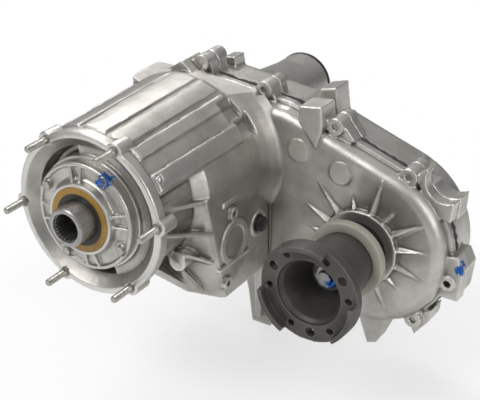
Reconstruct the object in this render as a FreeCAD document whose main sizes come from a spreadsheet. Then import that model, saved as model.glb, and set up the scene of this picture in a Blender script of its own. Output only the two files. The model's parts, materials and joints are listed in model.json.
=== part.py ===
import FreeCAD, Part

import math
import os

import Sketcher

from FreeCAD import Placement, Rotation, Vector

# Chain-driven transfer case with a planetary low range, as one parametric document.
# Millimetres. +Y runs to the rear along the shafts, +Z is up, +X points to the front output.
# The origin is the centre of the input stud circle, on the front face of the input ring.

PARTS_FOLDER = "parts"

SIZES = (
    # shaft lines
    ("front_line_x", 228.0, "front output axis, to the side of the main axis"),
    ("front_line_z", -80.0, "front output axis, below the main axis"),
    ("rail_x", 71.0, "shift rail axis, to the side"),
    ("rail_z", -72.0, "shift rail axis, below"),
    ("cam_x", 74.0, "selector shaft axis, to the side"),
    ("cam_z", -27.0, "selector shaft axis, below"),
    # clearances
    ("fit_gap", 0.05, "radial clearance of a running or located fit"),
    ("side_gap", 0.4, "side clearance of sliding and turning pieces"),
    # input ring, neck and barrel of the front case
    ("ring_radius", 99.0, "input ring, outer radius"),
    ("ring_bore", 90.6, "input ring, inner radius at the face"),
    ("ring_depth", 14.0, "input ring, depth of its rim"),
    ("dish_depth", 12.0, "depth of the dish inside the ring"),
    ("pocket_depth", 30.0, "depth of the cast pockets behind the ring"),
    ("neck_radius", 88.0, "neck behind the ring, outer radius"),
    ("neck_end", 92.0, "where the neck meets the barrel"),
    ("barrel_front", 97.0, "barrel radius at the ring"),
    ("barrel_rear", 105.0, "barrel radius at its shoulder"),
    ("shoulder_y", 198.0, "where the barrel turns out into the front wall"),
    ("flare_radius", 122.0, "radius at which the shoulder meets the front wall"),
    ("land_rise", 3.6, "height of the lands at the front of the barrel"),
    ("land_fade", 1.2, "height of the lands where they run out"),
    ("land_start", 18.0, "front end of the lands"),
    ("barrel_bore", 78.0, "space round the planetary gears, radius"),
    ("bearing_wall", 38.0, "rear face of the wall that carries the input bearing"),
    ("boss_radius", 68.0, "input bearing boss, radius"),
    ("boss_face", 6.0, "input bearing boss, front face"),
    ("seal_outer", 38.6, "input seal, outer radius"),
    # studs of the input ring
    ("stud_circle", 95.0, "radius of the stud circle"),
    ("stud_count", 6.0, "number of input studs"),
    ("stud_phase", 5.0, "angle of the first stud"),
    ("stud_radius", 4.4, "stud, radius"),
    ("stud_reach", 31.0, "how far a stud stands in front of the ring"),
    ("stud_grip", 20.0, "how deep a stud sits in its boss"),
    ("stud_root", 5.0, "root end of a stud in its boss, radius"),
    ("stud_sink", 6.2, "countersink of a stud hole, radius at the face"),
    ("stud_boss", 10.0, "boss round each stud, radius"),
    # chain case
    ("wall_y", 230.0, "front wall of the chain case"),
    ("rim_front", 250.0, "front face of the joint rim"),
    ("joint_y", 262.0, "joint face between the two case halves"),
    ("sealant", 1.2, "thickness of the sealant bead in the joint"),
    ("sealant_bulge", 0.9, "how far the sealant bead stands out of the rim"),
    ("rear_y", 326.0, "rear face of the rear half"),
    ("case_wall", 9.0, "wall of the chain case"),
    ("end_wall", 10.0, "front and rear walls of the chain case"),
    ("main_end_x", -14.0, "centre of the case end round the main shaft"),
    ("main_end_z", -8.0, "centre of the case end round the main shaft"),
    ("main_end_r", 96.0, "case end round the main shaft, radius at the rim"),
    ("front_end_r", 109.0, "case end round the front output, radius at the rim"),
    ("knee_x", 118.0, "highest point of the top edge between the ends"),
    ("knee_z", 74.0, "highest point of the top edge between the ends"),
    ("shell_inset", 4.0, "step from the rim in to the shell"),
    ("shell_round", 15.0, "rounding of the shell's front and rear edges"),
    # side box over the shift rail
    ("box_side", 100.0, "side wall of the shift box"),
    ("box_front", 100.0, "front corner of the shift box"),
    ("box_top", 6.0, "top of the shift box"),
    ("box_lean", 0.26, "how far the box front runs back for each millimetre down"),
    # front output
    ("output_boss_r", 48.5, "boss round the front output, radius"),
    ("output_boss_y", 222.0, "front face of that boss"),
    ("output_bearing_r", 40.0, "front output bearing, outer radius"),
    ("output_journal_r", 20.0, "front output shaft at its bearing, radius"),
    ("output_bearing_y", 230.0, "front face of that bearing"),
    ("output_bearing_w", 18.0, "width of that bearing"),
    ("output_seal_r", 35.0, "front output seal, outer radius"),
    ("flange_face", 100.0, "mounting face of the output flange"),
    ("flange_radius", 62.0, "output flange, radius"),
    ("flange_thick", 13.0, "output flange, thickness"),
    ("flange_lip", 12.0, "height of the pilot lips"),
    ("flange_cup", 40.5, "cup of the output flange, radius"),
    ("flange_hole_circle", 50.4, "radius of the flange hole circle"),
    ("flange_hole_r", 4.2, "small flange hole, radius"),
    ("flange_barrel_r", 36.0, "neck of the output flange, radius"),
    ("flange_hub_r", 24.0, "seal track of the output flange, radius"),
    ("dust_ring_r", 48.5, "dust ring, outer radius"),
    # rear bearing and tail
    ("rear_bearing_r", 42.5, "rear bearing, outer radius"),
    ("rear_journal_r", 22.5, "main shaft at the rear bearing, radius"),
    ("rear_bearing_y", 300.0, "front face of the rear bearing"),
    ("rear_bearing_w", 19.0, "width of the rear bearing"),
    ("tail_flange_r", 66.0, "tail housing flange, radius"),
    ("tail_front_r", 56.0, "tail housing behind its flange, radius"),
    ("tail_radius", 41.0, "tail housing at its end, radius"),
    ("tail_end", 488.0, "rear end of the tail housing"),
    ("tail_bore", 35.0, "space inside the tail housing, radius"),
    ("slip_bore", 24.0, "bore of the slip yoke bush, radius"),
    # input shaft and planetary set
    ("hub_radius", 22.9, "input hub, radius"),
    ("hub_front", -39.0, "front end of the input hub"),
    ("hub_bore", 17.4, "input spline, root radius"),
    ("input_bearing_r", 45.0, "input bearing, outer radius"),
    ("input_journal_r", 25.0, "input shaft at its bearing, radius"),
    ("input_bearing_y", 14.0, "front face of the input bearing"),
    ("input_bearing_w", 20.0, "width of the input bearing"),
    ("gear_module", 2.25, "module of the planetary gears"),
    ("sun_teeth", 33.0, "teeth of the sun gear"),
    ("planet_teeth", 12.0, "teeth of a planet gear"),
    ("planet_count", 3.0, "number of planet gears"),
    ("gear_front", 52.0, "front face of the planetary gears"),
    ("gear_width", 28.0, "face width of the planetary gears"),
    ("annulus_radius", 74.0, "annulus gear, outer radius"),
    ("pin_radius", 6.0, "planet pin, radius"),
    ("plate_thick", 6.0, "carrier plate thickness"),
    # shift parts
    ("clutch_teeth", 24.0, "teeth of the range clutch"),
    ("clutch_radius", 30.0, "range clutch teeth, tip radius"),
    ("range_travel", 14.0, "travel of the range collar"),
    ("spline_radius", 20.0, "main shaft spline, tip radius"),
    ("rail_radius", 8.0, "shift rail, radius"),
    ("selector_radius", 6.0, "selector shaft, radius"),
    ("cam_radius", 14.0, "selector cam, radius"),
    ("cam_front", 114.0, "front face of the selector cam"),
    ("cam_length", 50.0, "length of the selector cam"),
    ("groove_y", 124.0, "front side of the range collar's groove"),
    ("groove_width", 6.0, "width of the fork grooves"),
    ("cam_turn", 90.0, "turn of the selector from high to low range, degrees"),
    ("follower_radius", 3.0, "cam follower pin, radius"),
    # chain drive
    ("chain_room", 36.5, "from the tips of the sprocket teeth out to the rim of the case"),
    ("sprocket_tip", "=main_end_r - chain_room", "sprocket teeth, tip radius"),
    ("sprocket_teeth", 36.0, "teeth of each sprocket"),
    ("chain_depth", 12.0, "height of the chain links"),
    ("chain_front", 266.0, "front face of the chain"),
    ("chain_width", 22.0, "width of the chain"),
)

doc = FreeCAD.newDocument("TransferCase")
sheet = doc.addObject("Spreadsheet::Sheet", "Sizes")
for row, (alias, value, meaning) in enumerate(SIZES, start=1):
    sheet.set(f"A{row}", meaning)
    sheet.set(f"B{row}", str(value))
    sheet.setAlias(f"B{row}", alias)
doc.recompute()


# ---------------------------------------------------------------- sizes that stay live


class Size:
    """A length or angle with its value now and the sheet expression that keeps it live."""

    def __init__(self, value, text):
        self.value = float(value)
        self.text = text

    def __add__(self, other):
        other = size(other)
        return Size(self.value + other.value, f"({self.text} + {other.text})")

    def __radd__(self, other):
        return size(other) + self

    def __sub__(self, other):
        other = size(other)
        return Size(self.value - other.value, f"({self.text} - {other.text})")

    def __rsub__(self, other):
        return size(other) - self

    def __mul__(self, other):
        other = size(other)
        return Size(self.value * other.value, f"({self.text} * {other.text})")

    def __rmul__(self, other):
        return size(other) * self

    def __truediv__(self, other):
        other = size(other)
        return Size(self.value / other.value, f"({self.text} / {other.text})")

    def __rtruediv__(self, other):
        return size(other) / self

    def __neg__(self):
        return Size(-self.value, f"(0 - {self.text})")

    def __float__(self):
        return self.value


def size(thing):
    """A Size from a Size or a plain number."""
    if isinstance(thing, Size):
        return thing
    return Size(thing, f"({float(thing):.6f})")


def cosine(angle):
    angle = size(angle)
    return Size(math.cos(math.radians(angle.value)), f"cos({angle.text})")


def sine(angle):
    angle = size(angle)
    return Size(math.sin(math.radians(angle.value)), f"sin({angle.text})")


class LiveSizes:
    """Reads the sheet: sizes.ring_radius is the Size bound to that cell."""

    def __getattr__(self, alias):
        return Size(float(sheet.get(alias)), f"Sizes.{alias}")


S = LiveSizes()


def bind(thing, path, amount):
    """Keeps one property of a document object equal to a Size."""
    thing.setExpression(path, size(amount).text)


def place(thing, x=0, y=0, z=0):
    for axis, amount in (("x", x), ("y", y), ("z", z)):
        bind(thing, f"Placement.Base.{axis}", amount)


# ---------------------------------------------------------------- sketches

FACING_FRONT = Rotation(Vector(1, 0, 0), 90)
ALONG_Y = Rotation(Vector(1, 0, 0), -90)
SIDEWAYS = Rotation(Vector(1, 1, 1), 120)
SKETCH_TURN = {"XY": Rotation(), "XZ": FACING_FRONT, "YZ": SIDEWAYS}


def pin_point(sketch, edge, end, across, up):
    """Fixes one end of a sketch edge at (across, up) from the sketch's origin."""
    for kind, amount in (("DistanceX", across), ("DistanceY", up)):
        index = sketch.addConstraint(
            Sketcher.Constraint(kind, -1, 1, edge, end, size(amount).value)
        )
        sketch.setExpression(f"Constraints[{index}]", size(amount).text)


def draw_outline(sketch, points):
    """A closed outline of straight edges through the points, each bound to the sheet."""
    corners = [Vector(size(a).value, size(b).value, 0) for a, b in points]
    edges = [Part.LineSegment(corners[i], corners[(i + 1) % len(corners)]) for i in range(len(corners))]
    sketch.addGeometry(edges, False)
    for index, (across, up) in enumerate(points):
        previous = (index - 1) % len(points)
        sketch.addConstraint(Sketcher.Constraint("Coincident", previous, 2, index, 1))
        pin_point(sketch, index, 1, across, up)


def free_sketch(name, plane, points, x=0, y=0, z=0):
    """A sketch of the document itself, for a Part feature."""
    sketch = doc.addObject("Sketcher::SketchObject", name)
    sketch.Placement = Placement(Vector(), SKETCH_TURN[plane])
    place(sketch, x, y, z)
    draw_outline(sketch, points)
    return sketch


# ---------------------------------------------------------------- Part features


def prism(name, plane, points, start, depth):
    """An outline drawn in a plane and pushed along that plane's axis from start."""
    axis = {"XY": "z", "XZ": "y", "YZ": "x"}[plane]
    sketch = free_sketch(f"{name}_outline", plane, points, **{axis: start})
    solid = doc.addObject("Part::Extrusion", name)
    solid.Base = sketch
    solid.DirMode = "Custom"
    solid.Dir = {"z": Vector(0, 0, 1), "y": Vector(0, 1, 0), "x": Vector(1, 0, 0)}[axis]
    solid.Solid = True
    bind(solid, "LengthFwd", depth)
    return solid


def leaning_prism(name, points, start, height, lean):
    """A plan outline pushed up from start; it leans forward by lean for each millimetre."""
    sketch = free_sketch(f"{name}_outline", "XY", points, z=start)
    solid = doc.addObject("Part::Extrusion", name)
    solid.Base = sketch
    solid.DirMode = "Custom"
    bind(solid, "Dir.y", -size(lean))
    bind(solid, "Dir.z", 1)
    solid.Solid = True
    lean = size(lean)
    slope = Size(math.hypot(1, lean.value), f"sqrt(1 + {lean.text} * {lean.text})")
    bind(solid, "LengthFwd", size(height) * slope)
    return solid


def rod(name, radius, start, length, x=0, z=0):
    """A round bar along +Y."""
    solid = doc.addObject("Part::Cylinder", name)
    solid.Placement = Placement(Vector(), ALONG_Y)
    bind(solid, "Radius", radius)
    bind(solid, "Height", length)
    place(solid, x, start, z)
    return solid


def side_rod(name, radius, start, length, y=0, z=0):
    """A round bar along +X."""
    solid = doc.addObject("Part::Cylinder", name)
    solid.Placement = Placement(Vector(), Rotation(Vector(0, 1, 0), 90))
    bind(solid, "Radius", radius)
    bind(solid, "Height", length)
    place(solid, start, y, z)
    return solid


def sector(name, front_radius, rear_radius, start, length, first_angle, span):
    """A wedge of a cone round the main axis, from first_angle over span degrees."""
    solid = doc.addObject("Part::Cone", name)
    # the cone's own x axis turns with the bar's rotation, so angles run the other way
    turn = Rotation(Vector(0, 1, 0), -(first_angle + span))
    solid.Placement = Placement(Vector(), turn.multiply(ALONG_Y))
    bind(solid, "Radius1", front_radius)
    bind(solid, "Radius2", rear_radius)
    bind(solid, "Height", length)
    solid.Angle = span
    bind(solid, "Placement.Base.y", start)
    return solid


def block(name, x, y, z, wide, deep, high):
    solid = doc.addObject("Part::Box", name)
    bind(solid, "Length", wide)
    bind(solid, "Width", deep)
    bind(solid, "Height", high)
    place(solid, x, y, z)
    return solid


def turned(name, profile, x=0, z=0):
    """A profile of (radius, y) points turned about an axis along Y."""
    sketch = free_sketch(f"{name}_profile", "XY", profile, x=x, z=z)
    solid = doc.addObject("Part::Revolution", name)
    solid.Source = sketch
    solid.Axis = Vector(0, 1, 0)
    solid.Angle = 360
    solid.Solid = True
    bind(solid, "Base.x", x)
    bind(solid, "Base.z", z)
    return solid


def fuse(name, pieces):
    solid = doc.addObject("Part::MultiFuse", name)
    solid.Shapes = pieces
    solid.Refine = False
    return solid


def cut(name, base, tools):
    """Takes the tools away from the base."""
    tool = tools[0] if len(tools) == 1 else fuse(f"{name}_tools", tools)
    solid = doc.addObject("Part::Cut", name)
    solid.Base = base
    solid.Tool = tool
    solid.Refine = False
    return solid


def common(name, first, second):
    solid = doc.addObject("Part::Common", name)
    solid.Base = first
    solid.Tool = second
    return solid


# ---------------------------------------------------------------- PartDesign bodies


def origin_plane(body, role):
    return next(f for f in body.Origin.OriginFeatures if getattr(f, "Role", "") == role)


def body_sketch(body, name, role, points, offset=0):
    sketch = body.newObject("Sketcher::SketchObject", name)
    sketch.AttachmentSupport = (origin_plane(body, role), [""])
    sketch.MapMode = "FlatFace"
    bind(sketch, "AttachmentOffset.Base.z", offset)
    draw_outline(sketch, points)
    return sketch


def turned_body(name, profile, x=0, z=0):
    """A PartDesign body: a (radius, y) profile revolved about its own Y axis."""
    body = doc.addObject("PartDesign::Body", name)
    sketch = body_sketch(body, f"{name}_profile", "XY_Plane", profile)
    revolution = body.newObject("PartDesign::Revolution", f"{name}_turning")
    revolution.Profile = sketch
    revolution.ReferenceAxis = (sketch, ["V_Axis"])
    revolution.Angle = 360
    place(body, x, 0, z)
    return body


def ring_body(name, inner, outer, start, width, x=0, z=0):
    end = start + width
    return turned_body(name, ((inner, start), (outer, start), (outer, end), (inner, end)), x, z)


# ---------------------------------------------------------------- shapes made by a rule


def feature(name, shape):
    """A Part::Feature for a shape that repeats by a rule."""
    solid = doc.addObject("Part::Feature", name)
    solid.Shape = shape
    return solid


def joined(solids):
    return solids[0].multiFuse(solids[1:])


def toothed_face(teeth, root, tip, root_share, tip_share, bore=None, outer=None, phase=0.0):
    """A face with straight-sided teeth; shares are tooth widths over the pitch.

    With outer given, the toothed line is the inner edge of a ring of that radius.
    """
    pitch = 2 * math.pi / teeth
    corners = []
    for index in range(int(teeth)):
        middle = math.radians(phase) + index * pitch
        for radius, share, side in (
            (root, root_share, -1),
            (tip, tip_share, -1),
            (tip, tip_share, 1),
            (root, root_share, 1),
        ):
            angle = middle + side * share * pitch / 2
            corners.append(Vector(radius * math.cos(angle), 0, radius * math.sin(angle)))
    line = Part.makePolygon(corners + corners[:1])
    round_radius = outer or bore
    if round_radius is None:
        return Part.Face(line)
    circle = Part.Wire(Part.makeCircle(round_radius, Vector(), Vector(0, 1, 0)))
    if outer:
        return Part.Face(circle).cut(Part.Face(line))
    return Part.Face(line).cut(Part.Face(circle))


def pushed(face, start, length):
    """The face pushed along Y from start over length."""
    moved = face.copy()
    moved.translate(Vector(0, start, 0))
    return moved.extrude(Vector(0, length, 0))


def y_cylinder(radius, start, length, x=0.0, z=0.0):
    return Part.makeCylinder(radius, length, Vector(x, start, z), Vector(0, 1, 0))


# ---------------------------------------------------------------- case outline


def touch_point(centre, radius, outside, side):
    """Where a line from a point outside a circle touches it, on one side."""
    away = outside - centre
    spread = math.acos(radius / away.Length)
    angle = math.atan2(away.y, away.x) + side * spread
    return centre + Vector(math.cos(angle), math.sin(angle), 0) * radius


def draw_case_outline(sketch, inset):
    """The chain case seen from the front: two round ends, a knee on top, a straight belly."""
    main_x, main_z = S.main_end_x, S.main_end_z
    front_x, front_z = S.front_line_x, S.front_line_z
    main_r = S.main_end_r - inset
    front_r = S.front_end_r - inset
    knee_z = S.knee_z - inset
    main = Vector(main_x.value, main_z.value, 0)
    front = Vector(front_x.value, front_z.value, 0)
    knee = Vector(S.knee_x.value, knee_z.value, 0)
    main_top = touch_point(main, main_r.value, knee, 1)
    front_top = touch_point(front, front_r.value, knee, -1)
    line = front - main
    tilt = math.atan2(line.y, line.x)
    lean = math.asin((front_r.value - main_r.value) / line.Length)
    down = Vector(math.cos(tilt - lean - math.pi / 2), math.sin(tilt - lean - math.pi / 2), 0)
    main_low = main + down * main_r.value
    front_low = front + down * front_r.value

    def arc(centre, radius, start, end):
        circle = Part.Circle(centre, Vector(0, 0, 1), radius)
        return Part.ArcOfCircle(circle, circle.parameter(start), circle.parameter(end))

    sketch.addGeometry(
        [
            arc(main, main_r.value, main_top, main_low),
            Part.LineSegment(main_low, front_low),
            arc(front, front_r.value, front_low, front_top),
            Part.LineSegment(front_top, knee),
            Part.LineSegment(knee, main_top),
        ],
        False,
    )
    for first, first_end, second, second_end in ((0, 2, 1, 1), (1, 2, 2, 1), (2, 2, 3, 1), (4, 2, 0, 1)):
        sketch.addConstraint(Sketcher.Constraint("Tangent", first, first_end, second, second_end))
    sketch.addConstraint(Sketcher.Constraint("Coincident", 3, 2, 4, 1))
    pin_point(sketch, 0, 3, main_x, main_z)
    pin_point(sketch, 2, 3, front_x, front_z)
    pin_point(sketch, 4, 1, S.knee_x, knee_z)
    for edge, radius in ((0, main_r), (2, front_r)):
        index = sketch.addConstraint(Sketcher.Constraint("Radius", edge, radius.value))
        sketch.setExpression(f"Constraints[{index}]", radius.text)


def case_slab(name, inset, start, length):
    """The case outline, stepped in by inset, from start over length."""
    sketch = doc.addObject("Sketcher::SketchObject", f"{name}_outline")
    sketch.Placement = Placement(Vector(), FACING_FRONT)
    bind(sketch, "Placement.Base.y", start)
    draw_case_outline(sketch, size(inset))
    solid = doc.addObject("Part::Extrusion", name)
    solid.Base = sketch
    solid.DirMode = "Custom"
    solid.Dir = Vector(0, 1, 0)
    solid.Solid = True
    bind(solid, "LengthFwd", length)
    return solid


def rounded_shell(name, start, length, round_y):
    """The shell as a PartDesign pad with its end edge rounded at round_y."""
    body = doc.addObject("PartDesign::Body", name)
    sketch = body.newObject("Sketcher::SketchObject", f"{name}_outline")
    sketch.AttachmentSupport = (origin_plane(body, "XZ_Plane"), [""])
    sketch.MapMode = "FlatFace"
    bind(sketch, "AttachmentOffset.Base.z", -start)
    draw_case_outline(sketch, S.shell_inset)
    pad = body.newObject("PartDesign::Pad", f"{name}_pad")
    pad.Profile = sketch
    pad.Reversed = True
    bind(pad, "Length", length)
    doc.recompute()
    level = size(round_y).value
    edges = [
        f"Edge{index}"
        for index, edge in enumerate(pad.Shape.Edges, start=1)
        if all(abs(vertex.Point.y - level) < 0.01 for vertex in edge.Vertexes)
    ]
    fillet = body.newObject("PartDesign::Fillet", f"{name}_round")
    fillet.Base = (pad, edges)
    bind(fillet, "Radius", S.shell_round)
    return body


def on_ring(radius, angle, x=0, z=0):
    """The (x, z) place on a circle about an axis along Y."""
    return size(x) + size(radius) * cosine(angle), size(z) + size(radius) * sine(angle)


EXPORTS = {}


def keep(label, solid):
    """Gives a finished sub-part its Label and notes it for export."""
    solid.Label = label
    EXPORTS[label] = solid
    return solid


# places of the rim bolts: at angles round each case end, and along the straight edges
RIM_BOSS_R = 11.0
RIM_HOLE_R = 4.3
RIM_BOLT_R = 4.0
MAIN_RIM_ANGLES = (98.0, 150.0, 200.0, 250.0)
FRONT_RIM_ANGLES = (63.0, -52.0, -105.0)


def rim_spots():
    spots = [on_ring(S.main_end_r + 2, a, S.main_end_x, S.main_end_z) for a in MAIN_RIM_ANGLES]
    spots += [on_ring(S.front_end_r + 2, a, S.front_line_x, S.front_line_z) for a in FRONT_RIM_ANGLES]
    spots.append((S.knee_x - 35, S.knee_z + 12))
    spots.append((S.knee_x + 63, S.knee_z - 14))
    spots.append((S.knee_x - 28, S.front_line_z - 72))
    return spots


BLOCK_HOLE = (S.front_line_x + 108, S.front_line_z - 25)


def thin_fin(x, z, angle, inner, outer, root_y, tip_y, foot_y, thickness):
    """A radial fin about an axis at (x, z): full depth at the boss, running out at its tip."""
    profile = [Vector(inner, root_y, 0), Vector(inner, tip_y, 0), Vector(outer, foot_y, 0), Vector(outer, root_y, 0)]
    face = Part.Face(Part.makePolygon(profile + profile[:1]))
    face.translate(Vector(0, 0, -thickness / 2))
    fin = face.extrude(Vector(0, 0, thickness))
    fin.rotate(Vector(), Vector(0, 1, 0), -angle)
    fin.translate(Vector(x, 0, z))
    return fin


def slanted_plate(corners, thickness, push):
    """A flat plate through the first three corners, pushed along a direction; the rest join its plane."""
    points = [Vector(*corner) for corner in corners]
    normal = (points[1] - points[0]).cross(points[2] - points[0])
    normal.normalize()
    points = [point - normal * normal.dot(point - points[0]) for point in points]
    face = Part.Face(Part.makePolygon(points + points[:1]))
    direction = Vector(*push)
    direction.normalize()
    face.translate(direction * (-thickness / 2))
    return face.extrude(direction * thickness)


# ---------------------------------------------------------------- front case

LANDS = ((26.0, 12.0), (50.0, 9.0), (63.0, 13.0), (80.0, 17.0), (101.0, 16.0), (122.0, 14.0), (142.0, 14.0))
FRONT_FINS = (
    (175.0, 72.0), (154.0, 86.0), (131.0, 92.0), (103.0, 68.0), (76.0, 94.0), (54.0, 68.0), (32.0, 90.0),
    (9.0, 84.0), (-17.0, 86.0), (-41.0, 68.0), (-65.0, 84.0), (-90.0, 70.0))
POCKETS = ((104.0, 68.0), (184.0, 52.0), (246.0, 44.0))
PAD_ROUND_R = 14.5
LOW_LUG = ((218, -182), (234, -226), (246, -222), (262, -184))
SIDE_LUG = ((286, -168), (296, -192), (316, -166), (318, -150))
BEAD_TOP_Z = -18.0
BEAD_LOW_Z = -100.0
PANEL_PAD = (146.0, -72.0)
PANEL_BOSSES = ((142.0, -32.0), (128.0, -120.0))
SCOOPS = ((47.0, 172.0, 34.0), (34.0, 178.0, 26.0))
PLUG_Y = 202.0
RETAINER_BOLT_R = 3.5
RETAINER_CIRCLE = 57.0
RETAINER_ANGLES = (61.5, 151.5, 241.5, 331.5)
COVER_SPOT_R = 7.4
REAR_BOSS = 16.0
BOLT_SPOT_R = 9.3
NEEDLE_R = 22.0
TAIL_BOLT_R = 4.0
TAIL_CIRCLE = 59.0
TAIL_ANGLES = (30.0, 90.0, 150.0, 210.0, 270.0, 330.0)
PLUG_THREAD_R = 9.0
FILL_PLACE = (168.0, -28.0)
DRAIN_PLACE = (150.0, -138.0)
BALL_ANGLE = 34.0
BALL_SEAT = 98.0
BALL_Y = 24.0
BALL_R = 4.5
BUSH_PLACE = (150.0, 66.0)
BUSH_R = 5.0


def front_case():
    ring = turned("ring", ((70, 0), (S.ring_radius - 1.5, 0), (S.ring_radius, 1.5),
                           (S.ring_radius, S.ring_depth), (70, S.ring_depth)))
    neck = rod("neck", S.neck_radius, 4, S.neck_end - 4)
    barrel = turned("barrel", (
        (40, S.neck_end - 14), (S.neck_radius - 1, S.neck_end - 14), (S.barrel_front + 3, S.neck_end + 4),
        (S.barrel_rear, S.shoulder_y), (S.barrel_rear + 4, S.shoulder_y + 16),
        (S.barrel_rear + 9, S.wall_y - 4), (S.flare_radius, S.wall_y + 6), (40, S.wall_y + 6)))
    barrel_limit = case_slab("barrel_limit", -8, S.neck_end - 20, S.joint_y - S.neck_end)
    barrel_shape = common("barrel_trimmed", barrel, barrel_limit)
    crown = sector(
        "crown", S.barrel_front, S.barrel_rear, S.ring_depth - 4, S.shoulder_y - S.ring_depth + 4, 24, 196)
    lands = [
        sector(f"land_{index}", S.barrel_front + S.land_rise, S.barrel_rear + S.land_fade,
               S.land_start, S.shoulder_y - S.land_start - 6, first, span)
        for index, (first, span) in enumerate(LANDS, start=1)
    ]
    shell = rounded_shell("front_shell", S.wall_y, S.joint_y - S.wall_y - 2, S.wall_y)
    rim = case_slab("front_rim", 0, S.rim_front, S.joint_y - S.rim_front)
    box_height = 120 - S.front_line_z + S.box_top
    run = box_height * S.box_lean
    box_plan = leaning_prism("box_plan", (
        (0, run + 56), (S.box_side - 36, run + S.box_front - 38), (S.box_side - 4, run + S.box_front - 16),
        (S.box_side, run + S.box_front - 10), (S.box_side, run + S.wall_y + 40), (0, run + S.wall_y + 40)),
        S.front_line_z - 120, box_height, S.box_lean)
    box_limit = case_slab("box_limit", S.shell_inset + 4, 40, S.wall_y - 30)
    box = common("shift_box", box_plan, box_limit)
    bosses = [
        rod(f"rim_boss_{index}", RIM_BOSS_R, S.rim_front - 10, S.joint_y - S.rim_front + 10, x, z)
        for index, (x, z) in enumerate(rim_spots(), start=1)
    ]
    stud_bosses = []
    for index in range(int(S.stud_count.value)):
        x, z = on_ring(S.stud_circle, S.stud_phase + index * 360 / S.stud_count)
        stud_bosses.append(rod(f"stud_boss_{index + 1}", S.stud_boss, 0.4, S.stud_grip + 5, x, z))
    output_boss = rod("output_boss", S.output_boss_r, S.output_boss_y, S.wall_y - S.output_boss_y + 4,
                      S.front_line_x, S.front_line_z)
    rail_boss = rod("rail_boss", 12, 68, 50, S.rail_x, S.rail_z)
    discs = [
        rod(f"wall_disc_{index}", PAD_ROUND_R, S.wall_y - 1.5, 6, x, z)
        for index, (x, z) in enumerate(((139, 24), (196, 8)), start=1)
    ]
    top_pad = prism("top_pad", "XY", ((-66, 178), (-44, 166), (-34, 182), (-28, 240), (-72, 240), (-72, 198)),
                    60, 33)
    gusset = prism("gusset", "XZ", ((-48, 74), (-44, 94), (-24, 108), (8, 84), (10, 74)), 222, 40)
    top_knob = rod("top_knob", 11, 240, S.joint_y - 240, S.main_end_x + 6, S.main_end_z + S.main_end_r + 14)
    knob_web = prism("knob_web", "XZ", ((-24, 78), (-22, 106), (4, 104), (8, 78)), 246, S.joint_y - 246)
    hook = prism("hook", "XZ", ((S.knee_x + 21, S.knee_z - 12), (S.knee_x + 21, S.knee_z + 8),
                                (S.knee_x + 51, S.knee_z + 12), (S.knee_x + 53, S.knee_z - 12),
                                (S.knee_x + 46, S.knee_z - 42)), S.wall_y - 3, S.joint_y - S.wall_y + 3)
    mount_block = prism("mount_block", "XZ", (
        (S.front_line_x + 80, S.front_line_z - 46), (S.front_line_x + 78, S.front_line_z + 4),
        (S.front_line_x + 118, S.front_line_z + 12), (S.front_line_x + 126, S.front_line_z - 6),
        (S.front_line_x + 122, S.front_line_z - 46)), 243, S.joint_y - 243)
    block_boss = rod("block_boss", 10, 240, 6, *BLOCK_HOLE)
    saddle_block = prism("saddle_block", "XZ", (
        (S.front_line_x + 56, S.front_line_z + 100), (S.front_line_x + 70, S.front_line_z + 112),
        (S.front_line_x + 108, S.front_line_z + 88), (S.front_line_x + 104, S.front_line_z + 52),
        (S.front_line_x + 84, S.front_line_z + 56)), S.rim_front - 4, S.joint_y - S.rim_front + 4)
    foot = prism("foot", "XZ", ((36, -112), (58, -205), (64, -250), (92, -250), (102, -205), (128, -150)),
                 S.rim_front - 2, S.joint_y - S.rim_front + 2)
    foot_rib = prism("foot_rib", "XZ", ((72, -120), (74, -236), (82, -236), (88, -120)), S.rim_front - 12, 14)
    low_lug = prism("low_lug", "XZ", LOW_LUG, S.rim_front - 2, S.joint_y - S.rim_front + 2)
    side_lug = prism("side_lug", "XZ", SIDE_LUG, S.rim_front - 2, S.joint_y - S.rim_front + 2)
    boss_webs = feature("rim_boss_webs", joined(rim_boss_webs(S.rim_front.value - 6, S.joint_y.value)))
    panel = box_panel()
    boss_fins = feature("output_boss_fins", joined(output_boss_fins()))
    side_ribs = feature("side_ribs", joined(barrel_side_ribs()))
    low_fins = feature("low_fins", joined(box_low_fins()))
    front_end = fuse("front_end", [ring, neck, barrel_shape, crown, *lands])
    shells = fuse("front_shells", [front_end, shell, rim, box])
    bossed_outside = fuse("front_bosses", [shells, *bosses, *stud_bosses, output_boss, rail_boss, *discs])
    lugged = fuse("front_lugs", [bossed_outside, top_pad, gusset, top_knob, knob_web, hook, mount_block,
                                 block_boss, saddle_block, foot, foot_rib, low_lug, side_lug])
    webbed = fuse("front_webs", [lugged, boss_webs])
    panelled = fuse("front_panels", [webbed, *panel])
    finned = fuse("front_fins", [panelled, boss_fins])
    ribbed = fuse("front_ribs", [finned, side_ribs])
    outside = fuse("front_case_outside", [ribbed, low_fins])
    barrel_space = rod("barrel_space", S.barrel_bore, S.gear_front + S.gear_width + 6, 200)
    chain_space = case_slab("front_chain_space", S.case_wall + S.shell_inset, S.wall_y + S.end_wall, 60)
    space_side = S.box_side - S.case_wall
    space_height = 110 - S.front_line_z + S.box_top - 10
    space_run = space_height * S.box_lean
    box_space_plan = leaning_prism("box_space_plan", (
        (10, space_run + 92), (space_side - 15, space_run + 92), (space_side, space_run + S.box_front + 5),
        (space_side, space_run + S.wall_y + 50), (10, space_run + S.wall_y + 50)),
        S.front_line_z - 110, space_height, S.box_lean)
    box_space_limit = case_slab("box_space_limit", S.case_wall + S.shell_inset + 3, 80, S.wall_y - 60)
    box_space = common("box_space", box_space_plan, box_space_limit)
    hollow = cut("front_case_hollow", outside, [barrel_space, chain_space, box_space])
    bearing_depth = S.output_bearing_y + S.output_bearing_w - S.wall_y + 4
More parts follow.
